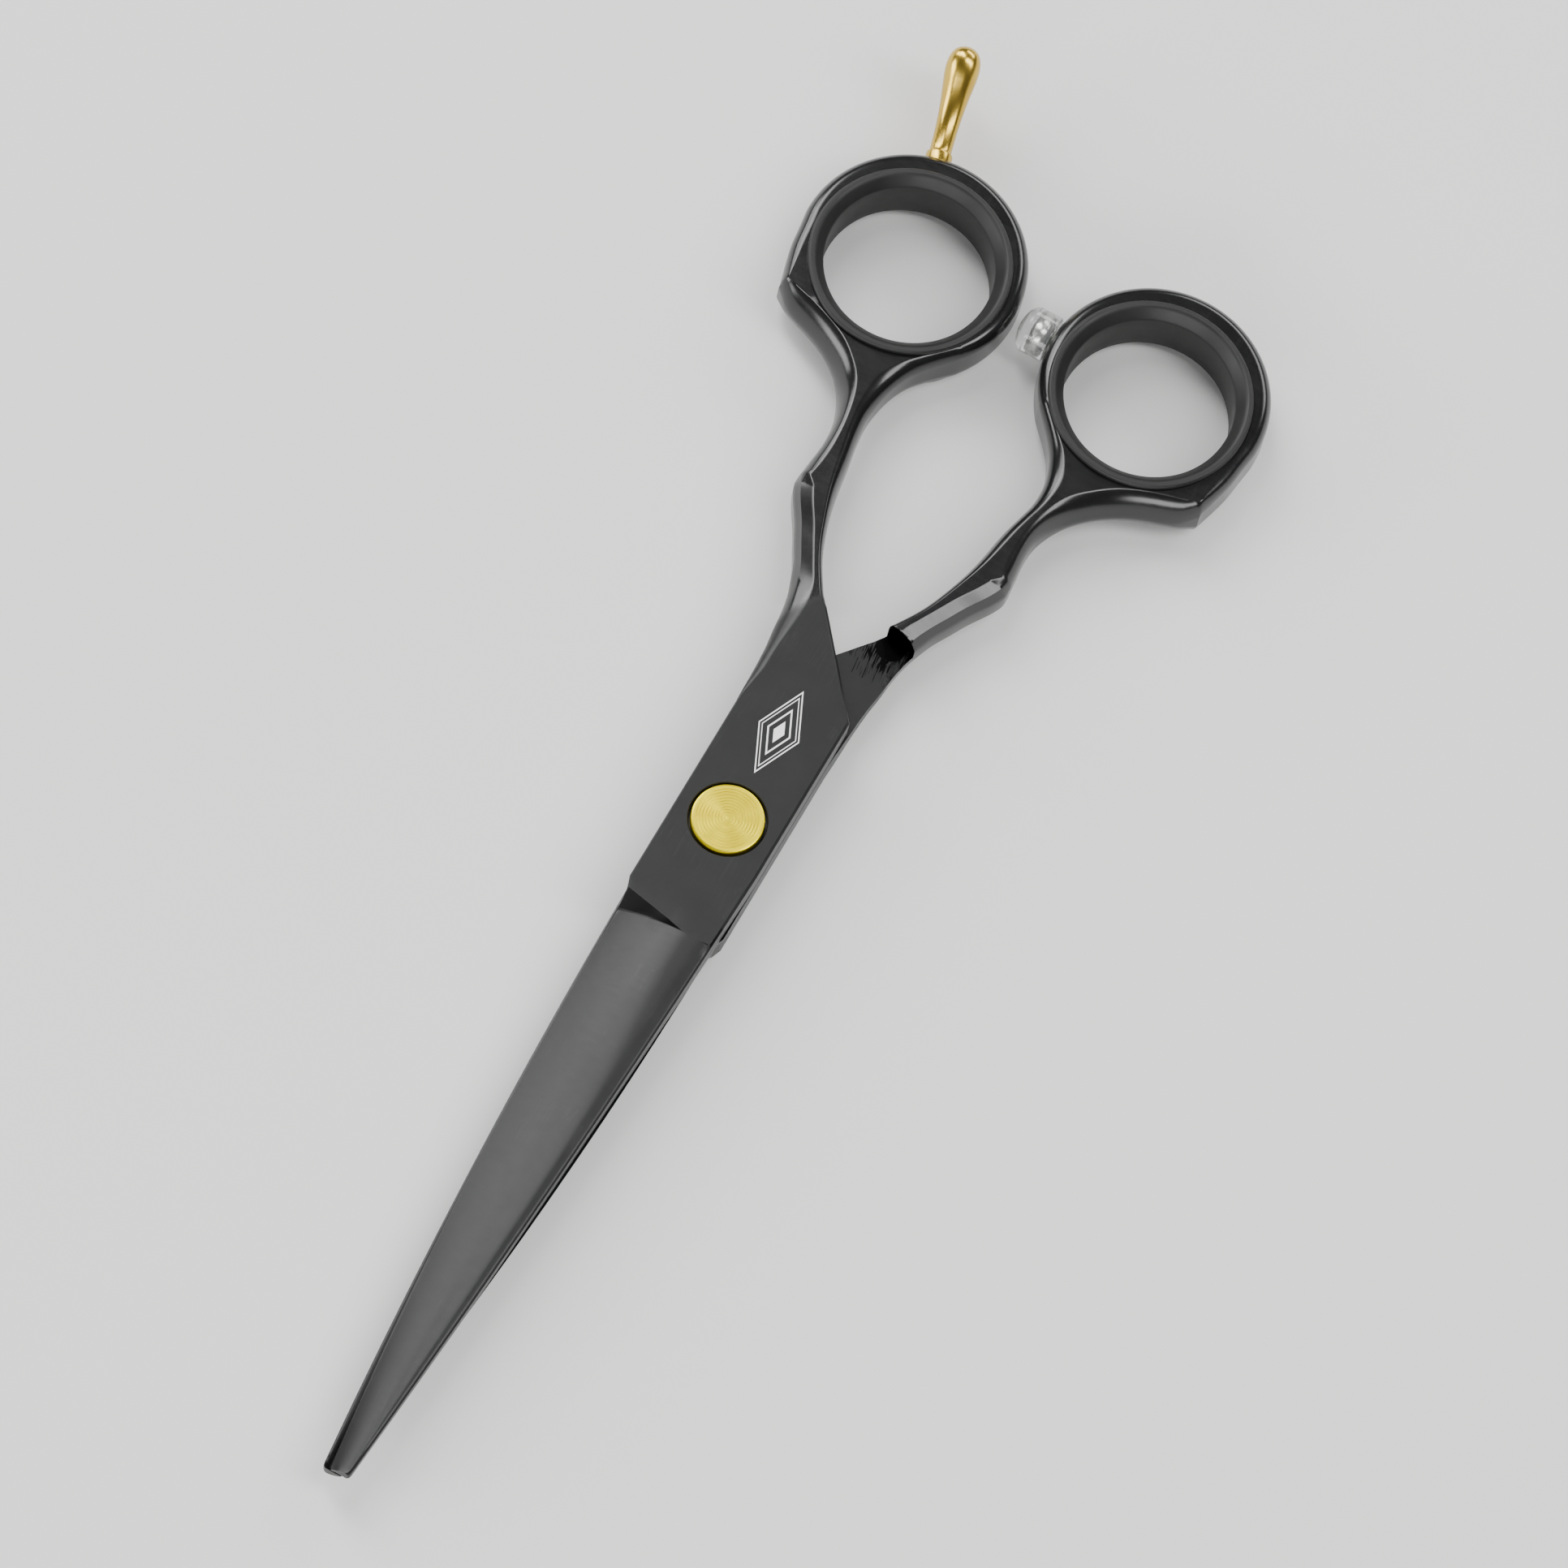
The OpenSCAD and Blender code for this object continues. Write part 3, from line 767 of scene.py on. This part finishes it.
# %% [markdown]
# ## Black coated steel
# The blades and the necks are ground, then coated: near-black and satin. Past the neck the handles
# are buffed before the coating, so theirs is deeper and glossier. One recipe paints all four steel
# pieces, so the butt weld between blade and handle stays hidden, as on the real pair. Masks measured
# from the pivot say where the steel is satin, where the inner faces are lapped smooth and darkened as
# painted shade, and where the step wall of the notch in front of the pivot is painted near-black as
# shade. A group of its own paints dark streaks in the thumb half's neck, which close up to painted
# shade at the pocket and on the swing cut's wall. The finger blade's own copy of the recipe adds the
# etched ornament.

# %% Position masks group
mask_group, gi, go = make_group(
    "shears_masks", [("Vector", VECTOR, None), ("Side", FLOAT, 1.0)],
    [("Bench", VECTOR), ("Satin", FLOAT), ("Lapped", FLOAT), ("Notch", FLOAT)])
link = mask_group.links.new
bench = add(mask_group, "ShaderNodeMapping", Location=tuple(-c / MM for c in PIVOT), Scale=(1000, 1000, 1000))
xyz = add(mask_group, "ShaderNodeSeparateXYZ")
SATIN_SLOPE, SATIN_END = Vector((-0.82, 0.57)), 18.8
LAPPED_FROM, LAPPED_FULL = 4, 8
NOTCH_FROM, NOTCH_SIDE = 10.9, 5.6
link(gi.outputs["Vector"], bench.inputs["Vector"])
link(bench.outputs[0], xyz.inputs[0])


def ramp(tree, value, start, end):
    fade = add(tree, "ShaderNodeMapRange", interpolation_type="SMOOTHSTEP")
    fade.inputs["From Min"].default_value, fade.inputs["From Max"].default_value = start, end
    tree.links.new(value, fade.inputs["Value"])
    return fade.outputs["Result"]


across = times(mask_group, times(mask_group, xyz.outputs["X"], gi.outputs["Side"]), SATIN_SLOPE.x)
along = plus(mask_group, times(mask_group, xyz.outputs["Y"], SATIN_SLOPE.y), SATIN_END)
satin = ramp(mask_group, plus(mask_group, across, along), -0.3, 0.9)
level = math_node(mask_group, "ABSOLUTE", xyz.outputs["Z"])
facing = below(mask_group, level, 0.3)
lapped = times(mask_group, facing, ramp(mask_group, xyz.outputs["Y"], LAPPED_FROM, LAPPED_FULL))
link(bench.outputs[0], go.inputs["Bench"])
link(satin, go.inputs["Satin"])
link(lapped, go.inputs["Lapped"])
# The notch mask covers the step wall between the flat and the ground face, which gets painted shade.
low = below(mask_group, level, FACE - 0.06)
off_face = above(mask_group, level, HALF_GAP + 0.2)
behind = below(mask_group, xyz.outputs["Y"], GRIND + 0.06)
ahead = above(mask_group, xyz.outputs["Y"], NOTCH_FROM)
inboard = below(mask_group, math_node(mask_group, "ABSOLUTE", xyz.outputs["X"]), NOTCH_SIDE)
notch_shade = low
for part in (off_face, behind, ahead, inboard):
    notch_shade = times(mask_group, notch_shade, part)
link(notch_shade, go.inputs["Notch"])

# %% Dark streaks and painted shade group
# Dark streaks run along the shears, sparse in the neck, and close up to solid black at the pocket, which is
# painted shade.
POCKET, PAINTED_SHADE_TO, SPARSE_FROM = Vector((-4.9, -27.2)), 1.6, 5.4
NECK_FROM = -22.6
streak_shade_group, gi, go = make_group("streaks_and_painted_shade", [("Bench", VECTOR, None)], [("Streaks and shade", FLOAT)])
link = streak_shade_group.links.new
xyz = add(streak_shade_group, "ShaderNodeSeparateXYZ")
link(gi.outputs["Bench"], xyz.inputs[0])
run = add(streak_shade_group, "ShaderNodeCombineXYZ")
slant = times(streak_shade_group, xyz.outputs["Y"], 0.12)
link(plus(streak_shade_group, xyz.outputs["X"], slant), run.inputs["X"])
link(times(streak_shade_group, xyz.outputs["Y"], 0.07), run.inputs["Y"])
hairs = add(streak_shade_group, "ShaderNodeTexNoise", Scale=6.0, Detail=3, Roughness=0.6)
link(run.outputs[0], hairs.inputs["Vector"])
px = plus(streak_shade_group, xyz.outputs["X"], -POCKET.x)
py = plus(streak_shade_group, xyz.outputs["Y"], -POCKET.y)
squares = plus(streak_shade_group, times(streak_shade_group, px, px), times(streak_shade_group, py, py))
from_pocket = math_node(streak_shade_group, "SQRT", squares)
reach = ramp(streak_shade_group, from_pocket, PAINTED_SHADE_TO, SPARSE_FROM)
cut_at = plus(streak_shade_group, times(streak_shade_group, reach, 0.19), 0.45)
# Painted shade: solid black close round the pocket.
painted_shade_core = below(streak_shade_group, from_pocket, PAINTED_SHADE_TO)
black = ramp(streak_shade_group, minus(streak_shade_group, hairs.outputs[0], cut_at), 0.0, 0.03)
over_plane = above(streak_shade_group, xyz.outputs["Z"], -0.3)
under_face = below(streak_shade_group, xyz.outputs["Z"], 3.1)
span = plus(streak_shade_group, math_node(streak_shade_group, "POWER", xyz.outputs["X"], 2.0),
            math_node(streak_shade_group, "POWER", xyz.outputs["Y"], 2.0))
in_swing = below(streak_shade_group, span, (SWING + 0.06) ** 2)
in_neck = below(streak_shade_group, xyz.outputs["Y"], NECK_FROM)
# Painted shade: the swing cut's wall above the sliding plane is painted black too.
wall = above(streak_shade_group, xyz.outputs["Z"], 0.1)
streaks_and_shade = larger(streak_shade_group, larger(streak_shade_group, black, painted_shade_core), wall)
for part in (over_plane, under_face, in_swing, in_neck):
    streaks_and_shade = times(streak_shade_group, streaks_and_shade, part)
link(streaks_and_shade, go.inputs["Streaks and shade"])

# %% Coating recipe
SATIN, GLOSS = (0.025, 0.025, 0.0253), (0.006, 0.006, 0.0063)
# The lapped colour is darker than satin as painted shade from the other blade; the smoother gloss is the
# lapping.
# The near-black colour is painted shade on the notch's step wall and at the thumb neck's pocket, and it also
# colours the neck's dark streaks.
LAPPED_AND_SHADE_TONE, SHADE_AND_STREAK_BLACK, SCRATCHED = (0.012, 0.012, 0.0122, 1), (0.003, 0.003, 0.003, 1), (0.11, 0.11, 0.11, 1)
SATIN_METAL = 0.85


def blend_values(tree, factor, a, b, kind="FLOAT"):
    node = add(tree, "ShaderNodeMix", data_type=kind)
    tree.links.new(factor, node.inputs[0])
    first, second = (node.inputs[2], node.inputs[3]) if kind == "FLOAT" else (node.inputs[6], node.inputs[7])
    for socket, value in ((first, a), (second, b)):
        if isinstance(value, (int, float, tuple)):
            socket.default_value = value
        else:
            tree.links.new(value, socket)
    return node.outputs[0] if kind == "FLOAT" else node.outputs[2]


def coated_steel(name, side, with_streak_shade=False):
    material, tree, shader = new_material(name)
    where = coords(tree)
    masks = place(tree, mask_group, Side=side)
    marks = place(tree, grain_group, Stretch=(0.15, 1.0, 0.5), Scale=3200.0)
    hair = place(tree, scratch_group, Amount=0.05)
    for group in (masks, marks, hair):
        tree.links.new(where, group.inputs["Vector"])
    tint = blend_values(tree, masks.outputs["Satin"], (*GLOSS, 1), (*SATIN, 1), "RGBA")
    # Lapped inner faces: smoother, and a darker colour that paints the shade the other blade casts on them.
    tint = blend_values(tree, times(tree, masks.outputs["Lapped"], 0.9), tint, LAPPED_AND_SHADE_TONE, "RGBA")
    cloudy = blend_values(tree, marks.outputs["Cloud"], (0.86, 0.86, 0.86, 1), (1.14, 1.14, 1.14, 1), "RGBA")
    toned = add(tree, "ShaderNodeMix", data_type="RGBA", blend_type="MULTIPLY")
    toned.inputs[0].default_value = 1.0
    tree.links.new(tint, toned.inputs[6])
    tree.links.new(cloudy, toned.inputs[7])
    colour = blend_values(tree, hair.outputs["Scratch"], toned.outputs[2], SCRATCHED, "RGBA")
    rough = blend_values(tree, masks.outputs["Satin"], 0.21, 0.42)
    rough = blend_values(tree, masks.outputs["Lapped"], rough, 0.16)
    height = marks.outputs["Grain"]
    metal = times(tree, masks.outputs["Satin"], SATIN_METAL)
    # Painted shade: the notch's step wall is made near-black pure metal.
    colour = blend_values(tree, masks.outputs["Notch"], colour, SHADE_AND_STREAK_BLACK, "RGBA")
    metal = blend_values(tree, masks.outputs["Notch"], metal, 1.0)
    # The thumb half's neck: dark streaks, with painted shade at the pocket and on the swing cut's wall.
    if with_streak_shade:
        streak_shade = place(tree, streak_shade_group)
        tree.links.new(masks.outputs["Bench"], streak_shade.inputs["Bench"])
        colour = blend_values(tree, streak_shade.outputs["Streaks and shade"], colour, SHADE_AND_STREAK_BLACK, "RGBA")
        metal = blend_values(tree, streak_shade.outputs["Streaks and shade"], metal, 1.0)
        height = minus(tree, height, streak_shade.outputs["Streaks and shade"])
    varied = times(tree, minus(tree, marks.outputs["Grain"], 0.5), 0.12)
    varied = plus(tree, rough, varied)
    worn = plus(tree, varied, times(tree, minus(tree, marks.outputs["Cloud"], 0.5), 0.10))
    relief = add(tree, "ShaderNodeBump", Strength=0.14, Distance=0.00001)
    tree.links.new(height, relief.inputs["Height"])
    tree.links.new(colour, shader.inputs["Base Color"])
    tree.links.new(worn, shader.inputs["Roughness"])
    tree.links.new(metal, shader.inputs["Metallic"])
    tree.links.new(relief.outputs["Normal"], shader.inputs["Normal"])
    shader.inputs["Coat Weight"].default_value = 0.1
    shader.inputs["Coat Roughness"].default_value = 0.2
    return material, tree, shader, colour, masks


finger_black, *_ = coated_steel("black_coating_finger", 1.0)
thumb_black, *_ = coated_steel("black_coating_thumb", -1.0, with_streak_shade=True)

# %% [markdown]
# ## The etched ornament
# The badge on the finger blade is etched through the coating, so it is a change of colour and not
# a shape: pale lines that stay flush. The group of nested lozenges is drawn from the distance to its
# centre, measured along X and Y, so it stays sharp at any size.

# %% Etched ornament on the finger blade
def line_mask(tree, distance, half_width, edge):
    """1 on the line where distance is 0, fading over edge."""
    away = minus(tree, math_node(tree, "ABSOLUTE", distance), half_width)
    fade = add(tree, "ShaderNodeMapRange")
    fade.inputs["From Min"].default_value, fade.inputs["From Max"].default_value = 0.0, edge
    fade.inputs["To Min"].default_value, fade.inputs["To Max"].default_value = 1.0, 0.0
    tree.links.new(away, fade.inputs["Value"])
    return fade.outputs["Result"]


# Each lozenge is (half width, half length, half the line's width, 1 for an outline or 0 for solid).
ORNAMENT = Vector((0.15, -11.3))
LOZENGES = ((2.3, 5.2, 0.05, 1.0), (1.95, 4.4, 0.03, 1.0), (1.25, 2.8, 0.07, 1.0), (0.62, 1.4, 0.6, 0.0))
ETCHED = (0.85, 0.85, 0.83, 1)
etched, tree, shader, colour, masks = coated_steel("black_coating_etched", 1.0)
parts = add(tree, "ShaderNodeSeparateXYZ")
tree.links.new(masks.outputs["Bench"], parts.inputs[0])
x_off = math_node(tree, "ABSOLUTE", minus(tree, parts.outputs["X"], ORNAMENT.x))
y_off = math_node(tree, "ABSOLUTE", plus(tree, parts.outputs["Y"], -ORNAMENT.y))
mark = None
for half_w, half_l, line_w, at in LOZENGES:
    size = plus(tree, times(tree, x_off, 1 / half_w), times(tree, y_off, 1 / half_l))
    line = line_mask(tree, times(tree, minus(tree, size, at), half_w), line_w, 0.04)
    mark = line if mark is None else larger(tree, mark, line)
up_face = above(tree, parts.outputs["Z"], FACE - 0.05)
mark = times(tree, mark, up_face)
tree.links.new(blend_values(tree, mark, colour, ETCHED, "RGBA"), shader.inputs["Base Color"])
tree.links.new(times(tree, minus(tree, 1.0, mark), SATIN_METAL), shader.inputs["Metallic"])

# %% [markdown]
# ## Rubber, gold, clear plastic, nylon and spring steel
# Rubber is dull and finely pebbled. The gold is a thin bright plating, so it is a metal whose
# gloss changes round the turned rings. Clear plastic keeps a plain transmission and has faint
# flow lines in its surface. The inner pieces keep their CAD meshes and only get finishes.

# %% Rubber
rubber, tree, shader = new_material("black_rubber")
where = coords(tree)
pebble = add(tree, "ShaderNodeTexNoise", Scale=5200, Detail=4, Roughness=0.65)
dusty = add(tree, "ShaderNodeTexNoise", Scale=330, Detail=3)
tone = add(tree, "ShaderNodeMix", data_type="RGBA")
tone.inputs["A"].default_value = (0.007, 0.007, 0.007, 1)
tone.inputs["B"].default_value = (0.011, 0.0108, 0.0105, 1)
dull = add(tree, "ShaderNodeMapRange")
dull.inputs["To Min"].default_value, dull.inputs["To Max"].default_value = 0.40, 0.58
relief = add(tree, "ShaderNodeBump", Strength=0.35, Distance=0.00003)
for node in (pebble, dusty):
    tree.links.new(where, node.inputs["Vector"])
tree.links.new(dusty.outputs[0], tone.inputs["Factor"])
tree.links.new(dusty.outputs[0], dull.inputs["Value"])
tree.links.new(pebble.outputs[0], relief.inputs["Height"])
tree.links.new(tone.outputs["Result"], shader.inputs["Base Color"])
tree.links.new(dull.outputs["Result"], shader.inputs["Roughness"])
tree.links.new(relief.outputs["Normal"], shader.inputs["Normal"])
shader.inputs["Specular IOR Level"].default_value = 0.38

# %% Gold plating
def gold(name, bright, deep, rough, rings):
    material, tree, shader = new_material(name)
    where = coords(tree)
    hair = place(tree, scratch_group, Amount=0.35)
    tree.links.new(where, hair.inputs["Vector"])
    cloudy = add(tree, "ShaderNodeTexNoise", Scale=420, Detail=3)
    tree.links.new(where, cloudy.inputs["Vector"])
    tone = add(tree, "ShaderNodeMix", data_type="RGBA")
    tone.inputs["A"].default_value, tone.inputs["B"].default_value = (*bright, 1), (*deep, 1)
    tree.links.new(cloudy.outputs[0], tone.inputs["Factor"])
    tree.links.new(tone.outputs["Result"], shader.inputs["Base Color"])
    height = hair.outputs["Scratch"]
    if rings:
        centred = add(tree, "ShaderNodeMapping", Location=(-PIVOT.x, -PIVOT.y, 0))
        tree.links.new(where, centred.inputs["Vector"])
        turned_rings = add(tree, "ShaderNodeTexWave", wave_type="RINGS", rings_direction="Z", Scale=3200,
                           Distortion=0.6, Detail=2)
        tree.links.new(centred.outputs[0], turned_rings.inputs["Vector"])
        height = plus(tree, times(tree, turned_rings.outputs["Fac"], 0.5), height)
    gloss = add(tree, "ShaderNodeMapRange")
    gloss.inputs["To Min"].default_value, gloss.inputs["To Max"].default_value = rough - 0.05, rough + 0.07
    tree.links.new(height, gloss.inputs["Value"])
    tree.links.new(gloss.outputs["Result"], shader.inputs["Roughness"])
    relief = add(tree, "ShaderNodeBump", Strength=0.25, Distance=0.00001)
    tree.links.new(height, relief.inputs["Height"])
    tree.links.new(relief.outputs["Normal"], shader.inputs["Normal"])
    shader.inputs["Metallic"].default_value = 1.0
    return material


screw_gold = gold("gold_faced", (0.80, 0.67, 0.0), (0.72, 0.56, 0.0), 0.40, True)
rest_gold = gold("gold_bright", (0.72, 0.50, 0.09), (0.52, 0.33, 0.05), 0.30, False)

# %% Clear plastic
clear, tree, shader = new_material("clear_plastic")
where = coords(tree)
flow = add(tree, "ShaderNodeTexNoise", Scale=700, Detail=3, Distortion=1.2)
relief = add(tree, "ShaderNodeBump", Strength=0.5, Distance=0.0001)
gloss = add(tree, "ShaderNodeMapRange")
gloss.inputs["To Min"].default_value, gloss.inputs["To Max"].default_value = 0.04, 0.16
tree.links.new(where, flow.inputs["Vector"])
tree.links.new(flow.outputs[0], relief.inputs["Height"])
tree.links.new(flow.outputs[0], gloss.inputs["Value"])
tree.links.new(relief.outputs["Normal"], shader.inputs["Normal"])
tree.links.new(gloss.outputs["Result"], shader.inputs["Roughness"])
shader.inputs["Base Color"].default_value = (0.86, 0.88, 0.87, 1)
shader.inputs["Transmission Weight"].default_value = 0.92
shader.inputs["IOR"].default_value = 1.49

# %% Bright stem, nylon and spring steel
def plain_finish(name, light, dark, rough, scale, metal=0.0):
    material, tree, shader = new_material(name)
    where = coords(tree)
    mottle = add(tree, "ShaderNodeTexNoise", Scale=scale, Detail=4)
    tone = add(tree, "ShaderNodeMix", data_type="RGBA")
    tone.inputs["A"].default_value, tone.inputs["B"].default_value = (*light, 1), (*dark, 1)
    gloss = add(tree, "ShaderNodeMapRange")
    gloss.inputs["To Min"].default_value, gloss.inputs["To Max"].default_value = rough - 0.08, rough + 0.08
    relief = add(tree, "ShaderNodeBump", Strength=0.2, Distance=0.00002)
    tree.links.new(where, mottle.inputs["Vector"])
    tree.links.new(mottle.outputs[0], tone.inputs["Factor"])
    tree.links.new(mottle.outputs[0], gloss.inputs["Value"])
    tree.links.new(mottle.outputs[0], relief.inputs["Height"])
    tree.links.new(tone.outputs["Result"], shader.inputs["Base Color"])
    tree.links.new(gloss.outputs["Result"], shader.inputs["Roughness"])
    tree.links.new(relief.outputs["Normal"], shader.inputs["Normal"])
    shader.inputs["Metallic"].default_value = metal
    return material


bright_stem = plain_finish("bright_stem", (0.80, 0.79, 0.74), (0.42, 0.42, 0.40), 0.26, 900, metal=1.0)
nylon = plain_finish("white_nylon", (0.82, 0.81, 0.77), (0.74, 0.73, 0.68), 0.5, 1500)
spring_steel = plain_finish("spring_steel", (0.62, 0.63, 0.64), (0.5, 0.5, 0.52), 0.3, 2500, metal=1.0)

# %% Giving each piece its finish
FINISHES = {"finger_blade_steel": etched, "thumb_blade_steel": thumb_black,
            "finger_handle_steel": finger_black, "thumb_handle_steel": thumb_black,
            "finger_rubber_ring": rubber, "thumb_rubber_ring": rubber, "gold_screw": screw_gold,
            "gold_tension_nut": screw_gold, "gold_finger_rest": rest_gold,
            "clear_bumper": clear, "bumper_stem": bright_stem, "pivot_bush": nylon, "pivot_washer": nylon,
            "nut_washer": nylon, "wave_spring": spring_steel}
for name, material in FINISHES.items():
    mesh = bpy.data.objects[name].data
    mesh.materials.clear()
    mesh.materials.append(material)
print(len(FINISHES), "pieces have their finish")

# %% [markdown]
# ## The studio
# A pale table, a dim even surround and soft boxes. Near-black gloss shows its shape only through
# what it reflects, so the boxes are large and low, and leave darker gaps between them.

# %% Table
floor_bm = bmesh.new()
bmesh.ops.create_grid(floor_bm, x_segments=1, y_segments=1, size=3.0)
floor_mesh = bpy.data.meshes.new("table")
floor_bm.to_mesh(floor_mesh)
floor_bm.free()
floor = bpy.data.objects.new("table", floor_mesh)
bpy.context.scene.collection.objects.link(floor)
pale, tree, shader = new_material("pale_table")
shader.inputs["Base Color"].default_value = (0.72, 0.72, 0.71, 1)
shader.inputs["Roughness"].default_value = 0.9
floor_mesh.materials.append(pale)

# %% [markdown]
# The boxes stand where the shears would mirror them into the camera. The ground facets and the
# bevels face one or another and are lit, while the flat faces look between them and stay dark.

# %% Soft boxes
def soft_box(name, place_at, size, watts):
    light = bpy.data.lights.new(name, "AREA")
    light.shape, light.size, light.size_y, light.energy = "RECTANGLE", size[0], size[1], watts
    lamp = bpy.data.objects.new(name, light)
    bpy.context.scene.collection.objects.link(lamp)
    lamp.location = place_at
    lamp.rotation_euler = (-Vector(place_at)).to_track_quat("-Z", "Y").to_euler()
    print(f"{name}: {size[0]} by {size[1]} m, {watts} W")


soft_box("over_box", (0.45, -0.40, 0.80), (0.26, 0.8), 6.3)
soft_box("wide_box", (0.82, -0.36, 0.60), (0.34, 0.8), 6)
soft_box("near_box", (-0.12, 0.97, 0.42), (1.1, 0.36), 11)
soft_box("left_box", (0.80, 0.46, 0.30), (0.6, 0.36), 6)
soft_box("right_box", (-0.54, -0.1, 0.83), (0.28, 0.95), 8)
soft_box("back_box", (-0.25, -1.0, 0.55), (1.0, 0.35), 7)
world = bpy.data.worlds.new("surround")
world.use_nodes = True
background = world.node_tree.nodes["Background"]
background.inputs["Color"].default_value = (0.9, 0.92, 0.95, 1)
background.inputs["Strength"].default_value = 0.13
bpy.context.scene.world = world

# %% [markdown]
# ## The camera
# It looks down on the table from the tips' side, 24 degrees off the vertical, rolled a little
# anticlockwise, through a long lens from about a metre away.

# %% Camera
TILT, ROLL, HEADING = math.radians(24.1), math.radians(14.3), math.radians(-74.529)
DISTANCE, LENS = 1008.4 * MM, 223.6
TARGET = Vector((-1.775, -4.578, 0)) * MM
away = Vector((math.cos(HEADING), math.sin(HEADING), 0))
to_camera = Vector((0, 0, math.cos(TILT))) - away * math.sin(TILT)
right = away.cross(Vector((0, 0, 1)))
up = to_camera.cross(right)
image_right = right * math.cos(ROLL) + up * math.sin(ROLL)
image_up = up * math.cos(ROLL) - right * math.sin(ROLL)
camera_data = bpy.data.cameras.new("camera")
camera_data.lens, camera_data.sensor_width = LENS, 36
camera_data.clip_start, camera_data.clip_end = 0.05, 20
camera = bpy.data.objects.new("camera", camera_data)
bpy.context.scene.collection.objects.link(camera)
axes = Matrix((image_right, image_up, to_camera)).transposed()
camera.matrix_world = Matrix.Translation(TARGET + to_camera * DISTANCE) @ axes.to_4x4()
bpy.context.scene.camera = camera
print("camera at", [round(c, 3) for c in camera.location])
